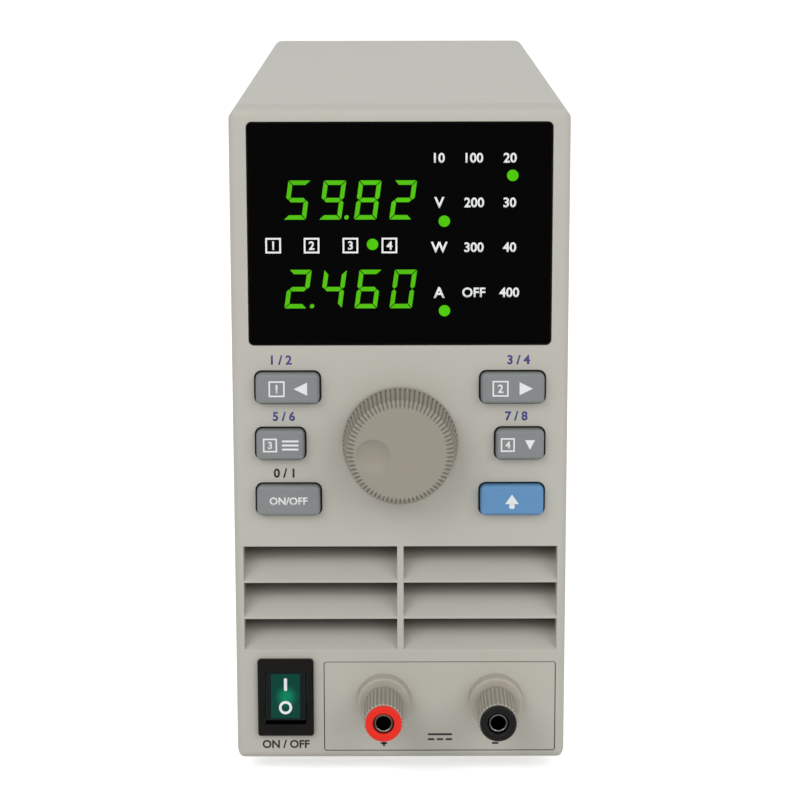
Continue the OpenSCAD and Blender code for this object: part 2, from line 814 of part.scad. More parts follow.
// Key cap with a retaining flange and a stem that ends in the plunger of its switch
module key(i, tint) {
    w = key_w(i) - 2 * key_gap;
    h = key_hole_h - 2 * key_gap;
    color(tint) placed() translate([key_x(i), 0, key_z(i)]) {
        soft_block(w, h, -key_proud, panel_t + key_flange_t / 2, key_hole_r - key_gap, key_edge_r);
        across(panel_t, panel_t + key_flange_t)
            rounded_rect(key_w(i) + 2 * key_flange, key_hole_h + 2 * key_flange, key_hole_r);
        across(panel_t + key_flange_t / 2, plunger_y) square([tact_w, tact_w / 2], center = true);
        rod(plunger_y, plunger_y + plunger_l, plunger_r);
    }
}

module key_left() { key(0, key_grey); }
module key_menu() { key(1, key_grey); }
module key_on_off() { key(2, key_grey); }
module key_right() { key(3, key_grey); }
module key_enter() { key(4, key_grey); }
module key_shift() { key(5, [0.39, 0.59, 0.8]); }

// Round bar with a flat on its right side over the outer part
module flatted_rod(y0, y1, r, flat_end) {
    difference() {
        rod(y0, y1, r);
        translate([flat_x + r - shaft_r, y0 - over, -r - over])
            cube([r, flat_end - y0 + over, 2 * r + 2 * over]);
    }
}

module control_knob() {
    rim_y = knob_chamfer_d - knob_reach;
    side_l = -knob_gap - rim_y;
    taper = (knob_base_r - knob_face_r) / side_l;
    groove = 0.56;
    ball_r = (dimple_r * dimple_r + dimple_d * dimple_d) / (2 * dimple_d);
    color([0.61, 0.58, 0.53]) placed() translate([0, 0, knob_z]) difference() {
        lathe() polygon([
            [0, -knob_gap], [knob_base_r, -knob_gap], [knob_face_r, rim_y],
            [knob_face_r - knob_chamfer, -knob_reach], [0, -knob_reach]
        ]);
        for (i = [0 : knob_ribs - 1]) rotate([0, i * 360 / knob_ribs, 0]) {
            translate([knob_base_r - taper * knob_skirt, -knob_gap - knob_skirt, 0])
                rotate([0, 0, -atan(taper)]) translate([0, -side_l / 2, 0])
                    rotate([0, 45, 0]) cube([groove, side_l, groove], center = true);
            translate([knob_face_r - knob_chamfer / 2, rim_y - knob_chamfer_d / 2, 0])
                rotate([0, 0, -atan2(knob_chamfer, knob_chamfer_d)])
                    rotate([0, 45, 0]) cube([groove, 2 * knob_chamfer + over, groove], center = true);
        }
        rotate([0, dimple_turn, 0])
            translate([-dimple_x, -knob_reach - ball_r + dimple_d, 0]) sphere(ball_r);
        rod(knob_hollow_y, over, knob_hollow_r);
        flatted_rod(shaft_tip_y - hole_gap, over, shaft_r + press_gap, knob_hollow_y + over);
    }
}

module encoder_shaft() {
    color(steel) placed() translate([0, 0, knob_z])
        flatted_rod(shaft_tip_y, shaft_end_y, shaft_r, knob_hollow_y + hole_gap);
}

module encoder_body() {
    color([0.3, 0.3, 0.32]) placed() translate([0, 0, knob_z]) difference() {
        union() {
            across(encoder_y, board_y) rounded_rect(encoder_w, encoder_w, 0.6);
            rod(bush_y, board_y - over, bush_r);
        }
        rod(bush_y - over, shaft_end_y + hole_gap, shaft_r + shaft_gap);
    }
}

module switch_housing() {
    color(black) placed() translate([switch_mid_x, 0, switch_z]) difference() {
        union() {
            soft_block(switch_w, switch_h, -switch_flange_t, 0, 0.9, 0.6);
            across(-switch_flange_t / 2, switch_d) square([switch_body_w, switch_body_h], center = true);
        }
        across(-switch_flange_t - over, switch_d - switch_floor)
            square([switch_bay_w, switch_bay_h], center = true);
        translate([0, pivot_y, 0]) rotate([0, 90, 0])
            cylinder(h = switch_w, r = pivot_r + shaft_gap, center = true);
        for (z = [-1, 1]) translate([0, 0, z * tab_z])
            across(switch_d - tab_root, switch_d + over)
                square([tab[0] + 2 * hole_gap, tab[1] + 2 * hole_gap], center = true);
    }
}

module switch_rocker() {
    half = rocker_h / 2;
    color([0.04, 0.37, 0.3]) placed() translate([switch_mid_x, pivot_y, switch_z])
    rotate([-rocker_tilt, 0, 0]) {
        sideways(-rocker_w / 2, rocker_w / 2) polygon([
            [-rocker_reach, -half], [-rocker_reach + rocker_dip, 0], [-rocker_reach, half],
            [1, half - 1.2], [2.6, 2.2], [2.6, -2.2], [1, -half + 1.2]
        ]);
        rotate([0, 90, 0]) cylinder(h = switch_body_w - 2 * slide_gap, r = pivot_r, center = true);
    }
}

module switch_tabs() {
    color(brass) placed() for (z = [-1, 1]) translate([switch_mid_x, 0, switch_z + z * tab_z])
        across(switch_d - tab_root, switch_d + tab[2]) square([tab[0], tab[1]], center = true);
}

module switch_lamp() {
    lamp_y = pivot_y + 5.2;
    neon_r = 1.2;
    color([0.9, 0.5, 0.3]) placed() translate([switch_mid_x, 0, switch_z]) {
        rod(lamp_y, switch_d - switch_floor, neon_r);
        translate([0, lamp_y, 0]) sphere(neon_r);
    }
}

// Collar that stands on the terminal plate
module post_collar(x) {
    lift = 0.5;
    color(post_grey) placed() translate([x, 0, post_mid_z]) lathe() polygon([
        [stud_r + hole_gap, terminal_set], [collar_r, terminal_set], [collar_r - 0.2, collar_face_y + lift],
        [collar_r - 0.2 - lift, collar_face_y], [stud_r + hole_gap, collar_face_y]
    ]);
}

// Threaded stud with the plug socket in its front end
module post_stud(x) {
    color(brass) placed() translate([x, 0, post_mid_z]) lathe() polygon([
        [socket_r, stud_tip_y], [nose_r, stud_tip_y], [nose_r, stud_tip_y + nose_l],
        [stud_r, stud_tip_y + nose_l], [stud_r, stud_end_y], [0, stud_end_y],
        [0, stud_tip_y + socket_l], [socket_r, stud_tip_y + socket_l]
    ]);
}

module post_washer(x) {
    color(steel) placed() translate([x, 0, post_mid_z]) difference() {
        rod(washer_face_y, collar_face_y, washer_r);
        rod(washer_face_y - over, collar_face_y + over, stud_r + thread_gap);
    }
}

// Ribbed sleeve that screws along the stud
module post_cap(x) {
    groove_r = 0.34;
    color(post_grey) placed() translate([x, 0, post_mid_z]) difference() {
        lathe() polygon([
            [stud_r + thread_gap, washer_face_y], [cap_r - 0.4, washer_face_y], [cap_r, washer_face_y - 0.8],
            [cap_r, cap_face_y + 0.4], [cap_r - 0.4, cap_face_y], [spigot_r + press_gap, cap_face_y],
            [spigot_r + press_gap, cap_face_y + spigot_l + hole_gap],
            [stud_r + thread_gap, cap_face_y + spigot_l + hole_gap]
        ]);
        for (i = [0 : cap_ribs - 1]) rotate([0, i * 360 / cap_ribs, 0])
            translate([cap_r, 0, 0]) rod(cap_face_y - over, washer_face_y + over, groove_r);
    }
}

// Coloured ring pressed into the front of a cap
module post_ring(x, tint) {
    color(tint) placed() translate([x, 0, post_mid_z]) lathe() polygon([
        [ring_hole_r, tip_y + 0.4], [ring_hole_r + 0.4, tip_y], [ring_r - 0.3, tip_y], [ring_r, tip_y + 0.3],
        [ring_r, cap_face_y], [spigot_r, cap_face_y], [spigot_r, cap_face_y + spigot_l],
        [ring_hole_r, cap_face_y + spigot_l]
    ]);
}

module red_post_collar() { post_collar(post_xs[0]); }
module red_post_stud() { post_stud(post_xs[0]); }
module red_post_washer() { post_washer(post_xs[0]); }
module red_post_cap() { post_cap(post_xs[0]); }
module red_post_ring() { post_ring(post_xs[0], [0.87, 0.18, 0.12]); }
module black_post_collar() { post_collar(post_xs[1]); }
module black_post_stud() { post_stud(post_xs[1]); }
module black_post_washer() { post_washer(post_xs[1]); }
module black_post_cap() { post_cap(post_xs[1]); }
module black_post_ring() { post_ring(post_xs[1], black); }

module post_nuts() {
    color(brass) placed() for (x = post_xs, y = [terminal_back_y, bar_y - nut_t, bar_y + bar_t])
        translate([x, y, post_mid_z]) difference() {
            rotate([-90, 0, 0]) cylinder(h = nut_t, r = nut_r, $fn = 6);
            rod(-over, nut_t + over, stud_r + press_gap);
        }
}

module bus_bars() {
    color([0.75, 0.45, 0.3]) placed() for (x = post_xs) translate([x, 0, 0]) difference() {
        union() {
            translate([-bar_w / 2, bar_y, post_mid_z - bar_w / 2])
                cube([bar_w, bar_t, power_top_z + bar_t - post_mid_z + bar_w / 2]);
            translate([-bar_w / 2, bar_y, power_top_z]) cube([bar_w, power_y + bar_lap - bar_y, bar_t]);
        }
        translate([0, 0, post_mid_z]) rod(bar_y - over, bar_y + bar_t + over, stud_r + hole_gap);
    }
}

module heat_sink() {
    plate_z = sink_top_z - sink_plate_t;
    bay_w = sink_w - 2 * sink_leg_t;
    fin_pitch = bay_w / (sink_fins + 1);
    color([0.6, 0.61, 0.63]) placed() across(sink_y, sink_y + sink_l) {
        translate([-sink_w / 2, plate_z]) square([sink_w, sink_plate_t]);
        for (s = [-1, 1]) translate([s * (sink_w - sink_leg_t) / 2 - sink_leg_t / 2, sheet_t])
            square([sink_leg_t, plate_z - sheet_t + over]);
        for (i = [1 : sink_fins])
            translate([-bay_w / 2 + i * fin_pitch - sink_fin_t / 2, sink_fin_bottom])
                square([sink_fin_t, plate_z - sink_fin_bottom + over]);
    }
}

module power_transistors() {
    color(black) placed() for (p = transistor_places) translate([p[0], p[1], sink_top_z]) difference() {
        translate([-transistor[0] / 2, -transistor[1] / 2, 0]) cube(transistor);
        translate([0, transistor_hole_y, -over]) cylinder(h = transistor[2] + 2 * over, r = screw_r + 0.3);
    }
}

module board_standoffs() {
    color(brass) placed() for (p = standoff_places) translate([p[0], p[1], sink_top_z]) difference() {
        cylinder(h = standoff_h, r = standoff_r, $fn = 6);
        translate([0, 0, standoff_h - standoff_screw_l]) cylinder(h = standoff_screw_l + over, r = screw_r);
    }
}

module power_board() {
    color(board_green) placed() difference() {
        union() {
            translate([-power_w / 2, power_y, power_z]) cube([power_w, power_l, board_t]);
            translate([ribbon_x - connector[0] / 2, ribbon_drop_y - connector[1] / 2, power_z + board_t / 2])
                cube([connector[0], connector[1], connector_t + board_t / 2]);
        }
        for (p = standoff_places) translate([p[0], p[1], power_z - over])
            cylinder(h = board_t + 2 * over, r = screw_r + hole_gap);
    }
}

module shunt_resistor() {
    rise = shunt[2] - 1;
    color([0.7, 0.62, 0.5]) placed() translate([0, cap_row_y - shunt[1] / 3, power_top_z])
        sideways(shunt_x, shunt_x + shunt[0]) difference() {
            square([shunt[1], shunt[2]]);
            translate([shunt_leg, -over]) square([shunt[1] - 2 * shunt_leg, rise + over]);
        }
}

module filter_capacitors() {
    color([0.15, 0.17, 0.3]) placed() for (x = cap_xs) translate([x, cap_row_y, power_top_z])
        rotate_extrude() polygon([
            [0, 0], [cap_body_r, 0], [cap_body_r, 1.6], [cap_body_r - 0.5, 2.1], [cap_body_r, 2.6],
            [cap_body_r, cap_body_h - 0.6], [cap_body_r - 0.6, cap_body_h], [0, cap_body_h]
        ]);
}

module transformer_core() {
    window_size = [core_leg, core[2] - 2 * core_leg];
    color([0.35, 0.36, 0.38]) placed() translate([0, 0, power_top_z])
        across(core_mid_y - core[1] / 2, core_mid_y + core[1] / 2) difference() {
            translate([-core[0] / 2, 0]) square([core[0], core[2]]);
            for (s = [0, 1]) mirror([s, 0]) translate([core_leg, core_leg]) square(window_size);
        }
}

module transformer_winding() {
    wire_t = core_leg - 2 * winding_gap;
    inner = [2 * core_leg + 2 * winding_gap, core[1] + 2 * winding_gap];
    wound_h = core[2] - 2 * core_leg - 2 * winding_gap;
    color([0.75, 0.6, 0.2]) placed()
        translate([0, core_mid_y, power_top_z + core_leg + winding_gap])
            linear_extrude(wound_h) difference() {
                rounded_rect(inner[0] + 2 * wire_t, inner[1] + 2 * wire_t, 3);
                square(inner, center = true);
            }
}

module ribbon_cable() {
    start_y = board_y + board_t + connector_t;
    end_z = power_top_z + connector_t;
    color([0.6, 0.62, 0.65]) placed() sideways(ribbon_x - ribbon_w / 2, ribbon_x + ribbon_w / 2) union() {
        translate([start_y, ribbon_z - ribbon_t / 2]) square([ribbon_drop_y - start_y, ribbon_t]);
        translate([ribbon_drop_y - ribbon_t, end_z]) square([ribbon_t, ribbon_z + ribbon_t / 2 - end_z]);
    }
}

module fan_frame() {
    back_y = rear_inner_y;
    hub_y = back_y - strut_t;
    color(black) placed() translate([0, 0, fan_z]) difference() {
        union() {
            difference() {
                across(fan_front_y, back_y) rounded_rect(fan_w, fan_w, 4);
                rod(fan_front_y - over, back_y + over, fan_bore_r);
            }
            rod(hub_y, back_y, fan_hub_r);
            for (a = strut_angles) rotate([0, a, 0]) translate([fan_hub_r - over, hub_y, -strut_w / 2])
                cube([fan_bore_r - fan_hub_r + 2 * over, strut_t, strut_w]);
            rod(hub_y - bearing[1], hub_y + over, bearing[0]);
        }
        rod(hub_y - bearing[1] - over, back_y - over, fan_shaft_r + shaft_gap);
        for (x = [-1, 1], z = [-1, 1]) translate([x * fan_hole, 0, z * fan_hole])
            rod(fan_front_y - over, back_y + over, fan_hole_r);
    }
}

// Curved blade along +X at the middle of the rotor, tilted to the flow
module fan_blade(length, chord) {
    bend_r = 34;
    blade_t = 1.6;
    rotate([fan_blade_tilt, 0, 0]) intersection() {
        translate([0, 0, -bend_r]) rotate([0, 90, 0]) difference() {
            cylinder(h = length, r = bend_r + blade_t / 2);
            translate([0, 0, -over]) cylinder(h = length + 2 * over, r = bend_r - blade_t / 2);
        }
        translate([-over, -chord / 2, -bend_r / 2]) cube([length + 2 * over, chord, bend_r]);
    }
}

// Hub cup, curved blades and shaft of the fan
module fan_rotor() {
    cup_front = fan_front_y + 1.5;
    cup_back = rear_inner_y - strut_t - fan_gap;
    blade_d = cup_back - cup_front - 1;
    blade_l = fan_bore_r - fan_hub_r + 2;
    color([0.12, 0.12, 0.13]) placed() translate([0, 0, fan_z]) {
        difference() {
            rod(cup_front, cup_back, fan_hub_r);
            rod(cup_front + 2, cup_back + over, fan_hub_r - 2);
        }
        rod(cup_front + 1, rear_inner_y - over - hole_gap, fan_shaft_r);
        for (i = [0 : fan_blades - 1]) rotate([0, i * 360 / fan_blades, 0]) intersection() {
            translate([fan_hub_r - 1, cup_front + blade_d / 2, 0]) fan_blade(blade_l, 2 * blade_d);
            difference() {
                rod(cup_front, cup_front + blade_d, fan_bore_r - fan_gap);
                rod(cup_front - over, cup_back + over, fan_hub_r - 0.5);
            }
        }
    }
}

module fan_guard() {
    arm_y = guard_y - 1.2 * guard_wire_r;
    eye_y = rear_face_y + guard_wire_r;
    reach = fan_hole * sqrt(2);
    color(steel) placed() translate([0, 0, fan_z]) {
        for (r = guard_rings) translate([0, guard_y, 0]) rotate([-90, 0, 0])
            rotate_extrude() translate([r, 0]) circle(guard_wire_r);
        for (a = [45 : 90 : 315]) rotate([0, a, 0]) {
            translate([0, arm_y, 0]) rotate([0, 90, 0])
                cylinder(h = reach - guard_bend, r = guard_wire_r);
            translate([reach - guard_bend, arm_y, 0]) sphere(guard_wire_r);
            translate([reach - guard_bend, eye_y - guard_wire_r / 2, 0])
                rod(0, arm_y - eye_y + guard_wire_r / 2, guard_wire_r);
            translate([reach, eye_y, 0]) rotate([-90, 0, 0])
                rotate_extrude() translate([guard_eye_r, 0]) circle(guard_wire_r);
            translate([reach - guard_bend, eye_y, 0]) rotate([0, 90, 0])
                cylinder(h = guard_bend - guard_eye_r, r = guard_wire_r);
        }
    }
}

module fan_screws() {
    head_y = rear_face_y + 2 * guard_wire_r;
    big_head_r = 4.2;
    color(steel) placed() translate([0, 0, fan_z]) for (x = [-1, 1], z = [-1, 1])
        translate([x * fan_hole, 0, z * fan_hole]) {
            rod(rear_inner_y - fan_screw_l, head_y + over / 2, fan_hole_r - slide_gap);
            lathe() polygon([
                [0, head_y], [big_head_r, head_y], [big_head_r, head_y + 0.8], [big_head_r - 1.4, head_y + 2],
                [0, head_y + 2]
            ]);
        }
}

module mains_inlet() {
    flange_y = rear_face_y + inlet_flange[2];
    color(black) placed() translate([0, 0, inlet_z]) difference() {
        union() {
            across(rear_face_y, flange_y) rounded_rect(inlet_flange[0], inlet_flange[1], 4);
            across(rear_face_y - inlet_body[2], rear_face_y + over) inlet_outline(0);
        }
        translate([0, 0, bay_z]) across(flange_y - bay[2], flange_y + over) polygon([
            [-bay[0] / 2, -bay[1] / 2], [bay[0] / 2, -bay[1] / 2], [bay[0] / 2, bay[1] / 2 - bay_cut],
            [bay[0] / 2 - bay_cut, bay[1] / 2], [-bay[0] / 2 + bay_cut, bay[1] / 2],
            [-bay[0] / 2, bay[1] / 2 - bay_cut]
        ]);
        for (p = pin_places) translate([p[0], 0, bay_z + p[1]])
            across(flange_y - bay[2] - pin_root, flange_y)
                square([pin_size[0] + 2 * press_gap, pin_size[2] + 2 * press_gap], center = true);
        translate([0, 0, drawer_z]) across(flange_y - drawer[2] - slide_gap, flange_y + over)
            square([drawer[0] + 2 * slide_gap, drawer[1] + 2 * slide_gap], center = true);
        for (s = [-1, 1]) translate([s * inlet_ear_x, 0, 0])
            rod(rear_face_y - over, flange_y + over, screw_r + hole_gap);
    }
}

module inlet_pins() {
    pin_back = rear_face_y + inlet_flange[2] - bay[2] - pin_root;
    color(steel) placed() translate([0, 0, inlet_z + bay_z]) for (p = pin_places) translate([p[0], 0, p[1]])
        across(pin_back, pin_back + pin_size[1]) square([pin_size[0], pin_size[2]], center = true);
}

module inlet_screws() {
    color(steel) placed() for (s = [-1, 1])
        translate([s * inlet_ear_x, rear_face_y + inlet_flange[2], inlet_z])
            rotate([0, 0, 180]) pan_screw(screw_r, inlet_flange[2] + sheet_t + 2 * flush_tail);
}

module fuse_drawer() {
    flange_y = rear_face_y + inlet_flange[2];
    color(black) placed() translate([0, 0, inlet_z + drawer_z]) difference() {
        union() {
            across(flange_y - drawer[2], flange_y + over / 2) square([drawer[0], drawer[1]], center = true);
            across(flange_y, flange_y + drawer_front[2]) rounded_rect(drawer_front[0], drawer_front[1], 1);
        }
        translate([0, 0, drawer_wall]) across(flange_y - drawer[2] + drawer_wall, flange_y - drawer_wall)
            square([drawer[0] - 2 * drawer_wall, drawer[1]], center = true);
        translate([0, flange_y + drawer_front[2], 0]) sideways(-4, 4) circle(0.9);
    }
}

module selector_body() {
    flange_y = rear_face_y + selector_flange[2];
    color(black) placed() translate([0, 0, selector_z]) difference() {
        union() {
            across(rear_face_y, flange_y) rounded_rect(selector_flange[0], selector_flange[1], 1);
            across(rear_face_y - selector_core[2], rear_face_y + over / 2)
                square([selector_core[0], selector_core[1]], center = true);
        }
        across(rear_face_y - slider_d - hole_gap, flange_y + over)
            square([slider_w + selector_travel + 2 * slide_gap, slider_h + 2 * slide_gap], center = true);
    }
}

module selector_slider() {
    start_x = -(slider_w + selector_travel) / 2;
    color([0.8, 0.15, 0.1]) placed() translate([start_x, 0, selector_z - slider_h / 2]) difference() {
        translate([0, rear_face_y - slider_d, 0])
            cube([slider_w, slider_d + selector_flange[2] + slider_proud, slider_h]);
        translate([slider_w / 2, rear_face_y + selector_flange[2] + slider_proud, -over])
            cylinder(h = slider_h + 2 * over, r = 0.7);
    }
}

front_bezel();
display_window();
terminal_plate();
top_cover();
base_chassis();
rear_panel();
rubber_feet();
foot_screws();
cover_screws();
inner_screws();
display_board();
upper_readout();
lower_readout();
indicator_lamps();
key_switches();
key_left();
key_menu();
key_on_off();
key_right();
key_enter();
key_shift();
control_knob();
encoder_shaft();
encoder_body();
switch_housing();
switch_rocker();
switch_tabs();
switch_lamp();
red_post_collar();
red_post_stud();
red_post_washer();
red_post_cap();
red_post_ring();
black_post_collar();
black_post_stud();
black_post_washer();
black_post_cap();
black_post_ring();
post_nuts();
bus_bars();
heat_sink();
power_transistors();
board_standoffs();
power_board();
shunt_resistor();
filter_capacitors();
transformer_core();
transformer_winding();
ribbon_cable();
fan_frame();
fan_rotor();
fan_guard();
fan_screws();
mains_inlet();
inlet_pins();
inlet_screws();
fuse_drawer();
selector_body();
selector_slider();
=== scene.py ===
"""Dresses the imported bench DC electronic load.

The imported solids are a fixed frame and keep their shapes. This script gives them their finishes, adds
the lit digits, the lamps, the printed marks, the rocker lens and the screw heads, and sets up the
floor, the lights and the camera. Sizes are in millimetres where nothing else is said.
"""
import json
import logging
import math
from dataclasses import dataclass
from enum import Enum
from typing import Any, Callable, Sequence

import bmesh
import bpy
from mathutils import Matrix, Vector


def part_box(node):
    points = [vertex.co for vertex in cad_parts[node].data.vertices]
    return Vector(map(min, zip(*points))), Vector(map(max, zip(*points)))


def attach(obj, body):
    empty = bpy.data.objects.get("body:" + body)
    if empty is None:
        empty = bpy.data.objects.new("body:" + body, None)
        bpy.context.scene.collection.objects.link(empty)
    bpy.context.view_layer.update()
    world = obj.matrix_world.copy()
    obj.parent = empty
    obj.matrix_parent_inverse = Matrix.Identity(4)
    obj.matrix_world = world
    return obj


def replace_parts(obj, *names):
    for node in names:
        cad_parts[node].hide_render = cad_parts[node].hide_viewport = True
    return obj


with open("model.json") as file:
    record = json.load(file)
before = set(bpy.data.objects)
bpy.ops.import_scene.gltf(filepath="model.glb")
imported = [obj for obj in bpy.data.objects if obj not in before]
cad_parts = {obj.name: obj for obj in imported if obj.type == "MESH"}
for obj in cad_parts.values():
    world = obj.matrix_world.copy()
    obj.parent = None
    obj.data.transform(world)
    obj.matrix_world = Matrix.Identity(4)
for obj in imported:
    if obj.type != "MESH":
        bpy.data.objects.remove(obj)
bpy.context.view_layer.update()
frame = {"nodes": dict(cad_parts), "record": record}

logging.basicConfig(level=logging.INFO, format="%(levelname)s %(message)s")
LOG = logging.getLogger("electronic_load")

MM = 0.001
ROUND_SIDES = 40

# An edge runs along an axis above the first share of its direction, and across it below the second.
ALONG = 0.9
ACROSS = 0.5

Colour = tuple[float, float, float]
Feeds = dict[str | int, Any]
EdgeTest = Callable[[Vector, Vector], bool]
Piece = bpy.types.Object
Material = bpy.types.Material
Socket = bpy.types.NodeSocket


def srgb(red: int, green: int, blue: int) -> Colour:
    """Turns a colour as the eye names it into the linear values that shaders take.

    Args:
        red: Red from 0 to 255.
        green: Green from 0 to 255.
        blue: Blue from 0 to 255.

    Returns:
        The linear colour.
    """
    def one(step: int) -> float:
        """Turns one channel."""
        share = step / 255
        return share / 12.92 if share <= 0.04045 else ((share + 0.055) / 1.055) ** 2.4

    return one(red), one(green), one(blue)


def opaque(colour: Colour, gain: float = 1.0) -> tuple[float, ...]:
    """Gives a colour with full alpha, made darker or lighter by a gain."""
    return (*(gain * part for part in colour), 1.0)


def turned(degrees: float, axis: str) -> Matrix:
    """Gives a turn about an axis."""
    return Matrix.Rotation(math.radians(degrees), 4, axis)


class Pointing(Enum):
    """Which way an arrow head points, in degrees from the right."""

    RIGHT = 0
    UP = 90
    LEFT = 180
    DOWN = 270


class Shop:
    """Modelling steps on one piece at a time, with Blender's own operators."""

    @staticmethod
    def clear() -> None:
        """Goes back to object mode with nothing selected."""
        if bpy.context.object is not None and bpy.context.object.mode != "OBJECT":
            bpy.ops.object.mode_set(mode="OBJECT")
        bpy.ops.object.select_all(action="DESELECT")

    @classmethod
    def start(cls, name: str, add: Callable[..., Any], **sizes: Any) -> Piece:
        """Adds a primitive as the start of a piece.

        Args:
            name: Name of the piece.
            add: The operator that adds the primitive.
            **sizes: What the operator takes.

        Returns:
            The new object, selected and active.
        """
        cls.clear()
        add(**sizes)
        piece = bpy.context.object
        piece.name = name
        piece.data.name = name
        return piece

    @classmethod
    def take(cls, piece: Piece, edit: bool = False) -> None:
        """Selects one piece alone and makes it active.

        Args:
            piece: The piece.
            edit: Whether edit mode starts, with the whole mesh selected.
        """
        cls.clear()
        piece.select_set(True)
        bpy.context.view_layer.objects.active = piece
        if edit:
            bpy.ops.object.mode_set(mode="EDIT")
            bpy.ops.mesh.select_all(action="SELECT")

    @classmethod
    def fix(cls, piece: Piece) -> None:
        """Puts a piece's place, turn and scale into its mesh."""
        cls.take(piece)
        bpy.ops.object.transform_apply(location=True, rotation=True, scale=True)

    @classmethod
    def sized(cls, piece: Piece, size: Sequence[float]) -> None:
        """Scales a unit primitive to its extents in metres."""
        piece.scale = size
        cls.fix(piece)

    @classmethod
    def pick_edges(cls, piece: Piece, test: EdgeTest) -> None:
        """Enters edit mode with the edges selected that pass a test.

        Args:
            piece: The piece.
            test: Takes an edge's middle and its direction.
        """
        cls.take(piece, edit=True)
        bpy.ops.mesh.select_mode(type="EDGE")
        bpy.ops.mesh.select_all(action="DESELECT")
        mesh = bmesh.from_edit_mesh(piece.data)
        for edge in mesh.edges:
            start, end = (corner.co for corner in edge.verts)
            if test((start + end) / 2, (end - start).normalized()):
                edge.select_set(True)
        bmesh.update_edit_mesh(piece.data)

    @classmethod
    def bevel(cls, piece: Piece, test: EdgeTest, width: float, steps: int = 1) -> None:
        """Bevels the edges that pass a test.

        Args:
            piece: The piece.
            test: Takes an edge's middle and its direction.
            width: Width of the bevel in metres.
            steps: How many segments the bevel has.
        """
        cls.pick_edges(piece, test)
        bpy.ops.mesh.bevel(offset=width, segments=steps, affect="EDGES")
        cls.clear()

    @classmethod
    def hollow(cls, piece: Piece, line: float) -> Piece:
        """Leaves only the rim of a flat piece.

        Args:
            piece: The piece.
            line: Width of the rim in metres.

        Returns:
            The same piece.
        """
        cls.take(piece, edit=True)
        bpy.ops.mesh.inset(thickness=line)
        bpy.ops.mesh.delete(type="FACE")
        cls.clear()
        return piece

    @classmethod
    def cut(cls, piece: Piece, cutter: Piece) -> None:
        """Takes a cutter's form out of a piece and removes the cutter.

        Args:
            piece: The piece.
            cutter: The form that is taken out.
        """
        cls.take(piece)
        modifier = piece.modifiers.new("cut", "BOOLEAN")
        modifier.operation = "DIFFERENCE"
        modifier.object = cutter
        modifier.solver = "EXACT"
        bpy.ops.object.modifier_apply(modifier=modifier.name)
        cls.drop(cutter)

    @classmethod
    def smooth(cls, piece: Piece, degrees: float = 35) -> None:
        """Shades a piece smooth where its faces meet at less than an angle."""
        cls.take(piece)
        bpy.ops.object.shade_smooth_by_angle(angle=math.radians(degrees))

    @staticmethod
    def copy(piece: Piece, place: Matrix) -> Piece:
        """Copies a piece with a mesh of its own.

        Args:
            piece: The piece to copy.
            place: Where the copy's mesh goes.

        Returns:
            The copy, at the origin.
        """
        mesh = piece.data.copy()
        mesh.transform(place)
        made = bpy.data.objects.new(piece.name + "_copy", mesh)
        bpy.context.scene.collection.objects.link(made)
        return made

    @staticmethod
    def drop(*pieces: Piece) -> None:
        """Removes pieces that were only patterns."""
        for piece in pieces:
            bpy.data.objects.remove(piece, do_unlink=True)

    @classmethod
    def join(cls, name: str, pieces: Sequence[Piece]) -> Piece:
        """Joins pieces into one.

        Args:
            name: Name of the joined piece.
            pieces: The pieces.

        Returns:
            The joined piece.
        """
        cls.clear()
        for piece in pieces:
            piece.select_set(True)
        made = pieces[0]
        bpy.context.view_layer.objects.active = made
        if len(pieces) > 1:
            bpy.ops.object.join()
        made.name = name
        made.data.name = name
        return made


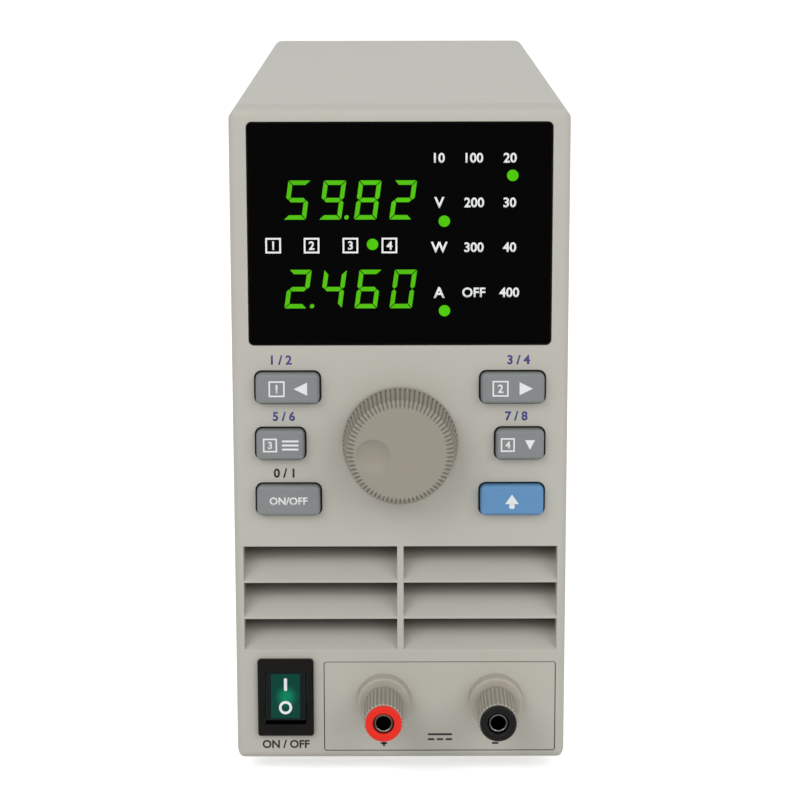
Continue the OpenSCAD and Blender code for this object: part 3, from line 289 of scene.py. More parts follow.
class Graph:
    """Adds and joins the nodes of one tree."""

    def __init__(self, tree: bpy.types.NodeTree) -> None:
        """Keeps the tree that the nodes go into."""
        self.tree = tree

    def feed(self, node: bpy.types.Node, feeds: Feeds) -> None:
        """Links or sets the inputs of a node.

        Args:
            node: The node.
            feeds: What each input gets, a socket to link or a value.
        """
        for name, value in feeds.items():
            if isinstance(value, Socket):
                self.tree.links.new(value, node.inputs[name])
            else:
                node.inputs[name].default_value = value

    def add(self, kind: str, feeds: Feeds | None = None, **settings: Any) -> bpy.types.Node:
        """Adds a node.

        Args:
            kind: The node's type.
            feeds: What each input gets, a socket to link or a value.
            **settings: Properties of the node.

        Returns:
            The node.
        """
        node = self.tree.nodes.new(kind)
        for name, value in settings.items():
            setattr(node, name, value)
        self.feed(node, feeds or {})
        return node

    def group(self, effect: type["Effect"], feeds: Feeds) -> bpy.types.NodeOutputs:
        """Places an effect's node group and gives its outputs."""
        return self.add("ShaderNodeGroup", feeds, node_tree=effect.tree()).outputs

    def coords(self) -> Socket:
        """Gives the object's own coordinates."""
        return self.add("ShaderNodeTexCoord").outputs["Object"]

    def math(self, operation: str, first: Any, second: Any = 0.0) -> Socket:
        """Adds a math node and gives its result."""
        return self.add("ShaderNodeMath", {0: first, 1: second}, operation=operation).outputs[0]

    def mix(self, share: Any, first: Any, second: Any) -> Socket:
        """Mixes two colours by the share of the second one."""
        return self.add("ShaderNodeMix", {0: share, 6: first, 7: second}, data_type="RGBA").outputs[2]

    def tone(self, colour: Any, gain: Socket) -> Socket:
        """Makes a colour darker or lighter by a gain."""
        return self.add("ShaderNodeVectorMath", {0: colour, "Scale": gain}, operation="SCALE").outputs[0]

    def spread(self, value: Any, low: float, high: float, start: Any = 0.0, end: Any = 1.0,
               kind: str = "LINEAR") -> Socket:
        """Maps a value to another range.

        Args:
            value: The value.
            low: What it becomes at the start.
            high: What it becomes at the end.
            start: Where its own range starts.
            end: Where its own range ends.
            kind: How it runs between the two.

        Returns:
            The mapped value.
        """
        feeds = {0: value, 1: start, 2: end, 3: low, 4: high}
        return self.add("ShaderNodeMapRange", feeds, interpolation_type=kind).outputs[0]

    def noise(self, coords: Socket, scale: Any, detail: float) -> Socket:
        """Adds a noise texture and gives its value."""
        return self.add("ShaderNodeTexNoise", {"Vector": coords, "Scale": scale, "Detail": detail}).outputs[0]

    def cloud(self, scale: float, low: float, high: float, detail: float = 2.0) -> Socket:
        """Adds a noise in the object's own coordinates, spread over a range."""
        return self.spread(self.noise(self.coords(), scale, detail), low, high)

    def bump(self, height: Socket, depth: float, strength: float, normal: Socket) -> Socket:
        """Adds a relief with a depth in millimetres and gives its normal."""
        feeds = {"Height": height, "Distance": depth * MM, "Strength": strength, "Normal": normal}
        return self.add("ShaderNodeBump", feeds).outputs[0]

    def shown(self) -> Socket:
        """Marks the rays that show the background: camera, glossy and transmission rays.

        Returns:
            A value that is 1 for those rays.
        """
        ray = self.add("ShaderNodeLightPath").outputs
        direct = self.math("MAXIMUM", ray["Is Camera Ray"], ray["Is Glossy Ray"])
        return self.math("MAXIMUM", direct, ray["Is Transmission Ray"])


class Effect:
    """A node group that several finishes share, made once."""

    NAME = ""
    INPUTS: Feeds = {}
    OUTPUTS: dict[str, str] = {}

    FLOAT = "NodeSocketFloat"
    COLOUR = "NodeSocketColor"
    VECTOR = "NodeSocketVector"

    @classmethod
    def tree(cls) -> bpy.types.NodeTree:
        """Gives the group and makes it the first time.

        Returns:
            The group's tree.
        """
        if cls.NAME in bpy.data.node_groups:
            return bpy.data.node_groups[cls.NAME]
        made = bpy.data.node_groups.new(cls.NAME, "ShaderNodeTree")
        for label, value in cls.INPUTS.items():
            kind = cls.FLOAT if isinstance(value, float) else cls.COLOUR
            made.interface.new_socket(label, in_out="INPUT", socket_type=kind).default_value = value
        for label, kind in cls.OUTPUTS.items():
            made.interface.new_socket(label, in_out="OUTPUT", socket_type=kind)
        graph = Graph(made)
        given = graph.add("NodeGroupInput").outputs
        graph.add("NodeGroupOutput", cls.wire(graph, given))
        return made

    @classmethod
    def wire(cls, graph: Graph, given: bpy.types.NodeOutputs) -> Feeds:
        """Adds the group's nodes and gives what its outputs get."""
        raise NotImplementedError


class MouldedGrain(Effect):
    """Fine grain of a moulding or a coat, with a faint unevenness of its colour."""

    NAME = "moulded_grain"
    INPUTS = {"Colour": (0.5, 0.5, 0.5, 1), "Roughness": 0.5, "Grain": 2000.0, "Mottle": 0.04}
    OUTPUTS = {"Colour": Effect.COLOUR, "Roughness": Effect.FLOAT, "Height": Effect.FLOAT}
    PATCH = 45.0
    MIDDLE = 0.5
    POLISH = 0.05

    @classmethod
    def wire(cls, graph: Graph, given: bpy.types.NodeOutputs) -> Feeds:
        """Adds fine specks and broad patches.

        Args:
            graph: The group's graph.
            given: The group's inputs.

        Returns:
            What the group's outputs get.
        """
        coords = graph.coords()
        fine = graph.noise(coords, given["Grain"], detail=3.0)
        broad = graph.noise(coords, cls.PATCH, detail=4.0)
        swing, speck = (
            graph.math("MULTIPLY", graph.math("SUBTRACT", value, cls.MIDDLE), given["Mottle"])
            for value in (broad, fine)
        )
        gain = graph.math("ADD", graph.math("ADD", swing, speck), 1.0)
        rough = graph.math("ADD", given["Roughness"], graph.spread(broad, -cls.POLISH, cls.POLISH))
        return {"Colour": graph.tone(given["Colour"], gain), "Roughness": rough, "Height": fine}


class BrushedLines(Effect):
    """Fine drawn lines of sheet and turned metal, along the depth."""

    NAME = "brushed_lines"
    INPUTS = {"Roughness": 0.3, "Lines": 5000.0}
    OUTPUTS = {"Roughness": Effect.FLOAT, "Height": Effect.FLOAT}
    STRETCH = (1.0, 0.02, 1.0)
    POLISH = 0.08

    @classmethod
    def wire(cls, graph: Graph, given: bpy.types.NodeOutputs) -> Feeds:
        """Adds a noise that is drawn out along y.

        Args:
            graph: The group's graph.
            given: The group's inputs.

        Returns:
            What the group's outputs get.
        """
        drawn = graph.add("ShaderNodeMapping", {"Vector": graph.coords(), "Scale": cls.STRETCH}).outputs[0]
        lines = graph.noise(drawn, given["Lines"], detail=2.0)
        rough = graph.math("ADD", given["Roughness"], graph.spread(lines, -cls.POLISH, cls.POLISH))
        return {"Roughness": rough, "Height": lines}


class EdgeCatch(Effect):
    """Rounded normals at sharp edges and a mask of those edges."""

    NAME = "edge_catch"
    INPUTS = {"Radius": 0.0003}
    OUTPUTS = {"Mask": Effect.FLOAT, "Normal": Effect.VECTOR}
    FLAT = 0.995
    SHARP = 0.8

    @classmethod
    def wire(cls, graph: Graph, given: bpy.types.NodeOutputs) -> Feeds:
        """Adds the rounded normal and compares it with the true one.

        Args:
            graph: The group's graph.
            given: The group's inputs.

        Returns:
            What the group's outputs get.
        """
        rounded = graph.add("ShaderNodeBevel", {"Radius": given["Radius"]}, samples=4).outputs[0]
        true = graph.add("ShaderNodeNewGeometry").outputs["Normal"]
        meet = graph.add("ShaderNodeVectorMath", {0: rounded, 1: true}, operation="DOT_PRODUCT")
        return {"Mask": graph.spread(meet.outputs["Value"], 0.0, 1.0, cls.FLAT, cls.SHARP), "Normal": rounded}


class CreviceShade(Effect):
    """A mask of grooves, bores and corners, for painted shade where little light reaches."""

    NAME = "crevice_shade"
    INPUTS = {"Reach": 0.001, "Open": 0.85, "Shut": 0.3}
    OUTPUTS = {"Mask": Effect.FLOAT}

    @classmethod
    def wire(cls, graph: Graph, given: bpy.types.NodeOutputs) -> Feeds:
        """Adds a measure of how shut in a place is."""
        clear = graph.add("ShaderNodeAmbientOcclusion", {"Distance": given["Reach"]}, samples=8).outputs["AO"]
        return {"Mask": graph.spread(clear, 0.0, 1.0, given["Open"], given["Shut"])}


@dataclass(frozen=True)
class Finish:
    """A surface finish, made once as a material."""

    name: str
    colour: Colour
    roughness: float = 0.5

    @property
    def title(self) -> str:
        """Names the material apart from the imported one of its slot."""
        return self.name + "_look"

    def blank(self) -> tuple[Material, Graph, bpy.types.Node]:
        """Makes the material with its shader alone.

        Returns:
            The material, its graph and its shader.
        """
        made = bpy.data.materials.new(self.title)
        made.use_nodes = True
        made.diffuse_color = opaque(self.colour)
        graph = Graph(made.node_tree)
        shader = made.node_tree.nodes["Principled BSDF"]
        graph.feed(shader, {"Base Color": opaque(self.colour), "Roughness": self.roughness})
        return made, graph, shader

    def build(self) -> Material:
        """Makes the material with all its nodes."""
        raise NotImplementedError

    def material(self) -> Material:
        """Gives the material and makes it the first time."""
        return bpy.data.materials.get(self.title) or self.build()


@dataclass(frozen=True)
class Well:
    """A sunk area of the front with painted shade that grows with its depth, in millimetres of the shared
    frame.
    """

    half_x: float
    low_z: float
    high_z: float
    face_y: float
    clear: float
    dark: float

    def mask(self, graph: Graph) -> Socket:
        """Adds the nodes that tell how deep a place in the well is.

        Args:
            graph: The material's graph.

        Returns:
            A value from 0 at the front to 1 deep in the well.
        """
        x, y, z = graph.add("ShaderNodeSeparateXYZ", {0: graph.coords()}).outputs
        start, end = ((self.face_y + depth) * MM for depth in (self.clear, self.dark))
        across = graph.math("LESS_THAN", graph.math("ABSOLUTE", x), self.half_x * MM)
        above = graph.math("GREATER_THAN", z, self.low_z * MM)
        below = graph.math("LESS_THAN", z, self.high_z * MM)
        inside = graph.math("MULTIPLY", across, graph.math("MULTIPLY", above, below))
        return graph.math("MULTIPLY", graph.spread(y, 0.0, 1.0, start, end), inside)


@dataclass(frozen=True)
class Moulded(Finish):
    """A moulded plastic, rubber or coated sheet with a grain.

    Grain, depth, edge and reach are in millimetres. The other values are shares.
    """

    grain: float = 0.4
    depth: float = 0.01
    mottle: float = 0.04
    edge: float = 0.25
    # edge_light is a painted highlight: how far sharp edges are made paler.
    edge_light: float = 0.08
    specular: float = 0.4
    # reach, shade, clear_at, dark_at and deep set painted shade in grooves and corners, found by ambient
    # occlusion; well adds painted shade deep in a sunk area.
    reach: float = 1.2
    shade: float = 0.3
    clear_at: float = 0.85
    dark_at: float = 0.3
    deep: float = 0.12
    well: Well | None = None

    RELIEF = 0.6
    GLINT = (0.9, 0.9, 0.88, 1)

    def build(self) -> Material:
        """Makes the material: grain, unevenness, painted shade in grooves and wells, and soft edges with a
        painted highlight.

        Returns:
            The material.
        """
        made, graph, shader = self.blank()
        grain = graph.group(MouldedGrain, {
            "Colour": opaque(self.colour), "Roughness": self.roughness, "Grain": 1 / (self.grain * MM),
            "Mottle": self.mottle,
        })
        edge = graph.group(EdgeCatch, {"Radius": self.edge * MM})
        crevice = graph.group(CreviceShade, {
            "Reach": self.reach * MM, "Open": self.clear_at, "Shut": self.dark_at,
        })
        # Painted shade: grooves, corners and a well's depth darken the colour towards deep times the colour.
        dark = graph.math("MULTIPLY", crevice["Mask"], self.shade)
        if self.well:
            dark = graph.math("MAXIMUM", dark, self.well.mask(graph))
        # Painted highlight: sharp edges are made paler towards GLINT.
        light = graph.math("MULTIPLY", edge["Mask"], self.edge_light)
        shaded = graph.mix(dark, grain["Colour"], opaque(self.colour, self.deep))
        graph.feed(shader, {
            "Base Color": graph.mix(light, shaded, self.GLINT),
            "Roughness": grain["Roughness"],
            "Normal": graph.bump(grain["Height"], self.depth, self.RELIEF, edge["Normal"]),
            "Specular IOR Level": self.specular,
        })
        return made


@dataclass(frozen=True)
class Metal(Finish):
    """A bare or plated metal with drawn lines.

    Lines, depth, edge and reach are in millimetres. The other values are shares.
    """

    lines: float = 0.2
    depth: float = 0.002
    edge: float = 0.2
    # reach and shade set painted shade in bores and corners; floor_shade is painted shade on faces that look
    # down.
    reach: float = 2.0
    shade: float = 0.4
    floor_shade: float = 0.0

    RELIEF = 0.5
    STAIN = 180.0
    STAINED = 0.3
    DULL = 0.72
    # The near-black tone of the painted shade.
    PAINTED_SHADE_TONE = (0.01, 0.01, 0.01, 1)
    UPWARD = 0.45
    LEVEL = 0.05

    def build(self) -> Material:
        """Makes the material: lines, tarnish, painted shade in bores and on undersides, and soft edges.

        Returns:
            The material.
        """
        made, graph, shader = self.blank()
        drawn = graph.group(BrushedLines, {"Roughness": self.roughness, "Lines": 1 / (self.lines * MM)})
        edge = graph.group(EdgeCatch, {"Radius": self.edge * MM})
        crevice = graph.group(CreviceShade, {"Reach": self.reach * MM})
        tarnish = graph.cloud(self.STAIN, 0.0, self.STAINED, detail=4.0)
        worn = graph.mix(tarnish, opaque(self.colour), opaque(self.colour, self.DULL))
        # Painted shade: bores, corners and faces that look down are darkened towards a near-black tone.
        deep = graph.math("MULTIPLY", crevice["Mask"], self.shade)
        upward = graph.add("ShaderNodeSeparateXYZ", {0: edge["Normal"]}).outputs["Z"]
        under = graph.spread(upward, 0.0, self.floor_shade, self.UPWARD, self.LEVEL)
        graph.feed(shader, {
            "Base Color": graph.mix(graph.math("MAXIMUM", deep, under), worn, self.PAINTED_SHADE_TONE),
            "Roughness": drawn["Roughness"],
            "Normal": graph.bump(drawn["Height"], self.depth, self.RELIEF, edge["Normal"]),
            "Metallic": 1.0,
        })
        return made


@dataclass(frozen=True)
class Lit(Finish):
    """A clear plastic that glows, a little unevenly."""

    patch: float = 250.0
    body: float = 0.1
    specular: float = 0.05

    FLICKER = (0.8, 1.2)

    def glow(self, graph: Graph) -> Socket:
        """Gives the colour of the glow."""
        return graph.tone(self.colour, graph.cloud(self.patch, *self.FLICKER))

    def build(self) -> Material:
        """Makes the material: a glow under a clear skin.

        Returns:
            The material.
        """
        made, graph, shader = self.blank()
        graph.feed(shader, {
            "Base Color": opaque(self.colour, self.body),
            "Emission Color": self.glow(graph),
            "Emission Strength": 1.0,
            "Specular IOR Level": self.specular,
        })
        return made


@dataclass(frozen=True)
class LampLens(Lit):
    """A tinted lens with a lamp behind one place, in millimetres of the shared frame."""

    bright: Colour = (0.0, 0.3, 0.2)
    centre: tuple[float, float, float] = (0.0, 0.0, 0.0)
    reach: float = 5.0

    def glow(self, graph: Graph) -> Socket:
        """Gives a glow that fades from the lamp to the rim.

        Args:
            graph: The material's graph.

        Returns:
            The colour of the glow.
        """
        spot = tuple(part * MM for part in self.centre)
        apart = graph.add("ShaderNodeVectorMath", {0: graph.coords(), 1: spot}, operation="DISTANCE")
        near = graph.spread(apart.outputs["Value"], 1.0, 0.0, 0.0, self.reach * MM, "SMOOTHSTEP")
        share = graph.math("MULTIPLY", near, graph.cloud(self.patch, *self.FLICKER))
        return graph.mix(share, opaque(self.colour), opaque(self.bright))


@dataclass(frozen=True)
class Ink(Finish):
    """Screen-printed ink, a little uneven."""

    SPECK = 3000.0
    COVER = (0.88, 1.12)
    SPECULAR = 0.2

    def build(self) -> Material:
        """Makes the material: ink with faint specks.

        Returns:
            The material.
        """
        made, graph, shader = self.blank()
        specks = graph.cloud(self.SPECK, *self.COVER, detail=3.0)
        tone = graph.tone(self.colour, specks)
        graph.feed(shader, {"Base Color": tone, "Specular IOR Level": self.SPECULAR})
        return made


@dataclass(frozen=True)
class Board(Finish):
    """A circuit board with tracks under its solder mask."""

    TRACKS = {
        "Scale": 90.0, "Mortar Size": 0.03, "Color1": (0, 0, 0, 1), "Color2": (0.2, 0.2, 0.2, 1),
        "Mortar": (1, 1, 1, 1),
    }
    PALER = 1.7
    LIFT = 0.01

    def build(self) -> Material:
        """Makes the material: a grid of paler tracks under a gloss.

        Returns:
            The material.
        """
        made, graph, shader = self.blank()
        tracks = graph.add("ShaderNodeTexBrick", {"Vector": graph.coords(), **self.TRACKS}).outputs["Color"]
        light = tuple(self.PALER * part + self.LIFT for part in self.colour)
        graph.feed(shader, {"Base Color": graph.mix(tracks, opaque(self.colour), opaque(light))})
        return made


class Finishes:
    """The finishes of this object, by the record's material slots."""

    # Painted shade darkens the panel's grooves and the depths of its louvre slots.
    PANEL = Moulded("bezel_plastic", srgb(186, 184, 174), 0.55, grain=0.35, depth=0.012, reach=9.0, shade=0.6,
                    clear_at=0.36, dark_at=0.1, deep=0.04, specular=0.25,
                    well=Well(half_x=42.5, low_z=33.0, high_z=66.5, face_y=-121.0, clear=5.5, dark=10.0))
    PAINT = Moulded("cover_paint", srgb(185, 184, 175), 0.5, grain=0.6, depth=0.015, mottle=0.03)
    WINDOW = Moulded("window_black", srgb(2, 2, 2), 0.2, grain=1.2, depth=0.001, edge=0.6, edge_light=0.03,
                     specular=0.015)
    RUBBER = Moulded("foot_rubber", srgb(34, 34, 34), 0.8, grain=0.3, depth=0.03)
    BLACK_SCREW = Moulded("screw_black", srgb(38, 38, 38), 0.35, grain=0.3, depth=0.006, edge_light=0.15)
    READOUT = Moulded("readout_grey", srgb(40, 40, 40), 0.5)
    BLACK = Moulded("part_black", srgb(33, 33, 34), 0.45, grain=0.4, depth=0.01, edge_light=0.06)
    KEY = Moulded("key_grey", srgb(125, 129, 130), 0.42, grain=0.3, depth=0.008, edge=0.3, edge_light=0.14)
    KEY_BLUE = Moulded("key_blue", srgb(88, 138, 183), 0.4, grain=0.3, depth=0.008, edge=0.3)
    KNOB = Moulded("knob_taupe", srgb(147, 141, 129), 0.5, grain=0.3, depth=0.01, edge=0.15, reach=0.6,
                   shade=0.8)
    SWITCH = Moulded("switch_black", srgb(17, 16, 14), 0.3, grain=0.5, depth=0.006, edge_light=0.04,
                     specular=0.08)
    ROCKER = Moulded("rocker_rim", srgb(6, 20, 18), 0.3, grain=0.5, depth=0.006, edge_light=0.06,
                     specular=0.1)
    POST = Moulded("post_grey", srgb(172, 166, 154), 0.42, grain=0.4, depth=0.006, edge=0.15, edge_light=0.03,
                   reach=0.8, shade=0.6)
    RING_RED = Moulded("ring_red", srgb(232, 38, 22), 0.3, grain=0.5, depth=0.004, edge_light=0.06,
                       specular=0.2)
    RING_BLACK = Moulded("ring_black", srgb(14, 14, 13), 0.3, grain=0.5, depth=0.004, edge_light=0.05,
                         specular=0.12)
    SHUNT = Moulded("shunt_ceramic", srgb(188, 172, 148), 0.7)
    CAPACITOR = Moulded("capacitor_blue", srgb(40, 44, 78), 0.3)
    WINDING = Moulded("winding_amber", srgb(188, 155, 62), 0.4)
    RIBBON = Moulded("ribbon_grey", srgb(160, 162, 166), 0.5)
    SLIDER = Moulded("slider_red", srgb(196, 40, 26), 0.35)
    NEON = Moulded("neon_amber", srgb(96, 60, 44), 0.2)
    STEEL = Metal("chassis_steel", srgb(196, 197, 198), 0.38)
    SCREW = Metal("screw_steel", srgb(202, 203, 204), 0.28)
    SHAFT = Metal("shaft_steel", srgb(202, 203, 204), 0.25)
    BRASS = Metal("contact_brass", srgb(204, 173, 112), 0.3)
    # Painted shade darkens the stud's bore and the faces of its tube that look down.
    NICKEL = Metal("stud_nickel", srgb(214, 211, 204), 0.2, edge=0.4, reach=6.0, shade=1.0, floor_shade=0.9)
    COPPER = Metal("bar_copper", srgb(206, 138, 102), 0.32)
    ALUMINIUM = Metal("sink_aluminium", srgb(203, 205, 208), 0.4)
    CORE = Metal("core_steel", srgb(98, 98, 102), 0.5)
    CHROME = Metal("guard_chrome", srgb(220, 220, 222), 0.15)
    LAMP = Lit("lamp_green", srgb(74, 190, 5), 0.35)
    DIGIT = Lit("digit_green", srgb(78, 184, 12), 0.35, patch=120.0)
    LENS = LampLens("rocker_green", srgb(1, 60, 50), 0.25, patch=600.0, body=0.15, specular=0.08,
                    bright=srgb(0, 134, 94), centre=(-30.6, -123.4, 22.2), reach=3.6)
    WHITE = Ink("print_white", srgb(236, 238, 238), 0.5)
    PALE = Ink("print_pale", srgb(226, 229, 229), 0.5)
    BLUE = Ink("print_blue", srgb(74, 74, 140), 0.5)
    DARK = Ink("print_dark", srgb(48, 46, 44), 0.5)
    BOARD = Board("board_green", srgb(22, 78, 48), 0.35)

    @classmethod
    def by_slot(cls, slot: str) -> Finish:
        """Finds the finish that has a material slot's name."""
        return next(item for item in vars(cls).values() if isinstance(item, Finish) and item.name == slot)


def wear(piece: Piece, finish: Finish) -> None:
    """Puts a finish on a piece.

    Args:
        piece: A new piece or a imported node.
        finish: The finish.
    """
    if piece.material_slots:
        for holder in piece.material_slots:
            holder.material = finish.material()
    else:
        piece.data.materials.append(finish.material())


def settle(piece: Piece, body: str, finish: Finish) -> Piece:
    """Finishes a new piece and lets it ride on a body.

    Args:
        piece: The piece, in place.
        body: The body that carries it.
        finish: Its finish.

    Returns:
        The same piece.
    """
    piece.data.materials.clear()
    wear(piece, finish)
    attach(piece, body)
    LOG.info("made %s on %s, %d faces", piece.name, body, len(piece.data.polygons))
    return piece


@dataclass
class FrontPlane:
    """Places on the front, from the bezel's face and the case bottom."""

    face_y: float = 0.0
    case_z: float = 0.0

    def __post_init__(self) -> None:
        """Reads the bezel's place from the frame."""
        low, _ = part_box("front_bezel")
        self.face_y = low.y
        self.case_z = low.z

    def at(self, x: float, z: float, depth: float = 0.0) -> Vector:
        """Gives a place in metres.

        Args:
            x: Millimetres to the right of the middle.
            z: Millimetres above the case bottom.
            depth: Millimetres behind the bezel's face.

        Returns:
            The place in the shared frame.
        """
        return Vector((x * MM, self.face_y + depth * MM, self.case_z + z * MM))


@dataclass(frozen=True)
class Mark:
    """A printed mark that looks to the front, placed from its carrier's middle."""

    x: float
    z: float

    THICK = 0.05
    SUNK = 0.02
    MERGE = 0.0005

    def flat(self) -> Piece:
        """Models the mark lying flat about the origin."""
        raise NotImplementedError

    def draw(self, middle: Vector) -> Piece:
        """Stands the mark up in its place and thickens it, mostly in front of the surface.

        Args:
            middle: The carrier's middle, on its surface.

        Returns:
            The mark as a mesh.
        """
        piece = self.flat()
        spot = middle + Vector((self.x, self.SUNK, self.z)) * MM
        piece.data.transform(Matrix.Translation(spot) @ turned(90, "X"))
        Shop.take(piece, edit=True)
        bpy.ops.mesh.remove_doubles(threshold=self.MERGE * MM)
        bpy.ops.mesh.extrude_region_move(TRANSFORM_OT_translate={"value": (0, -self.THICK * MM, 0)})
        bpy.ops.mesh.select_all(action="SELECT")
        bpy.ops.mesh.normals_make_consistent(inside=False)
        Shop.clear()
        return piece


@dataclass(frozen=True)
class Words(Mark):
    """Plain figures or letters, with strokes thickened by a share of the letter size."""

    body: str
    height: float
    weight: float = 0.03

    CURVE_STEPS = 4

    def flat(self) -> Piece:
        """Models the words from text, scaled to their height.

        Returns:
            The words as a flat mesh.
        """
        Shop.clear()
        bpy.ops.object.text_add()
        text = bpy.context.object.data
        text.body = self.body
        text.align_x = "CENTER"
        text.align_y = "CENTER"
        text.offset = self.weight
        text.resolution_u = self.CURVE_STEPS
        bpy.ops.object.convert(target="MESH")
        piece = bpy.context.object
        corners = [vertex.co for vertex in piece.data.vertices]
        low, high = (Vector([pick(axis) for axis in zip(*corners)]) for pick in (min, max))
        size = Matrix.Scale(self.height * MM / (high.y - low.y), 4)
        piece.data.transform(size @ Matrix.Translation((low + high) / -2))
        return piece


@dataclass(frozen=True)
class Box(Mark):
    """A square outline."""

    side: float
    line: float

    def flat(self) -> Piece:
        """Models the outline from a plane with its middle taken out."""
        plane = Shop.start("box", bpy.ops.mesh.primitive_plane_add, size=self.side * MM)
        return Shop.hollow(plane, self.line * MM)


@dataclass(frozen=True)
class Ring(Mark):
    """A round outline."""

    radius: float
    line: float

    def flat(self) -> Piece:
        """Models the ring from a disc with its middle taken out."""
        disc = Shop.start("ring", bpy.ops.mesh.primitive_circle_add, vertices=ROUND_SIDES,
                          radius=self.radius * MM, fill_type="NGON")
        return Shop.hollow(disc, self.line * MM)


@dataclass(frozen=True)
class Arrow(Mark):
    """A filled arrow head."""

    length: float
    base: float
    pointing: Pointing

    def flat(self) -> Piece:
        """Models the arrow head from a triangle.

        Returns:
            The arrow head as a flat mesh.
        """
        piece = Shop.start("arrow", bpy.ops.mesh.primitive_circle_add, vertices=3, radius=1, fill_type="NGON")
        tip = self.length / 2 * MM
        side = self.base / 2 * MM
        for vertex, corner in zip(piece.data.vertices, ((tip, 0, 0), (-tip, side, 0), (-tip, -side, 0))):
            vertex.co = corner
        piece.data.transform(turned(self.pointing.value, "Z"))
        return piece


@dataclass(frozen=True)
class Bar(Mark):
    """A filled bar with soft corners."""

    width: float
    height: float

    SOFT = 0.4

    def flat(self) -> Piece:
        """Models the bar from a plane.

        Returns:
            The bar as a flat mesh.
        """
        piece = Shop.start("bar", bpy.ops.mesh.primitive_plane_add, size=1)
        Shop.sized(piece, (self.width * MM, self.height * MM, 1))
        Shop.take(piece, edit=True)
        soft = self.SOFT * min(self.width, self.height) * MM
        bpy.ops.mesh.bevel(offset=soft, segments=3, affect="VERTICES")
        Shop.clear()
        return piece


@dataclass(frozen=True)
class FigureBox:
    """A figure in a square outline, which is used at several places."""

    side: float
    line: float
    figure_h: float

    def marks(self, figure: str, x: float, z: float = 0.0) -> list[Mark]:
        """Lists the outline and the figure at a place from the carrier's middle."""
        return [Box(x, z, self.side, self.line), Words(x, z, figure, self.figure_h)]


def printed(name: str, marks: Sequence[Mark], middle: Vector) -> Piece:
    """Draws marks about their carrier's middle and joins them."""
    return Shop.join(name, [mark.draw(middle) for mark in marks])


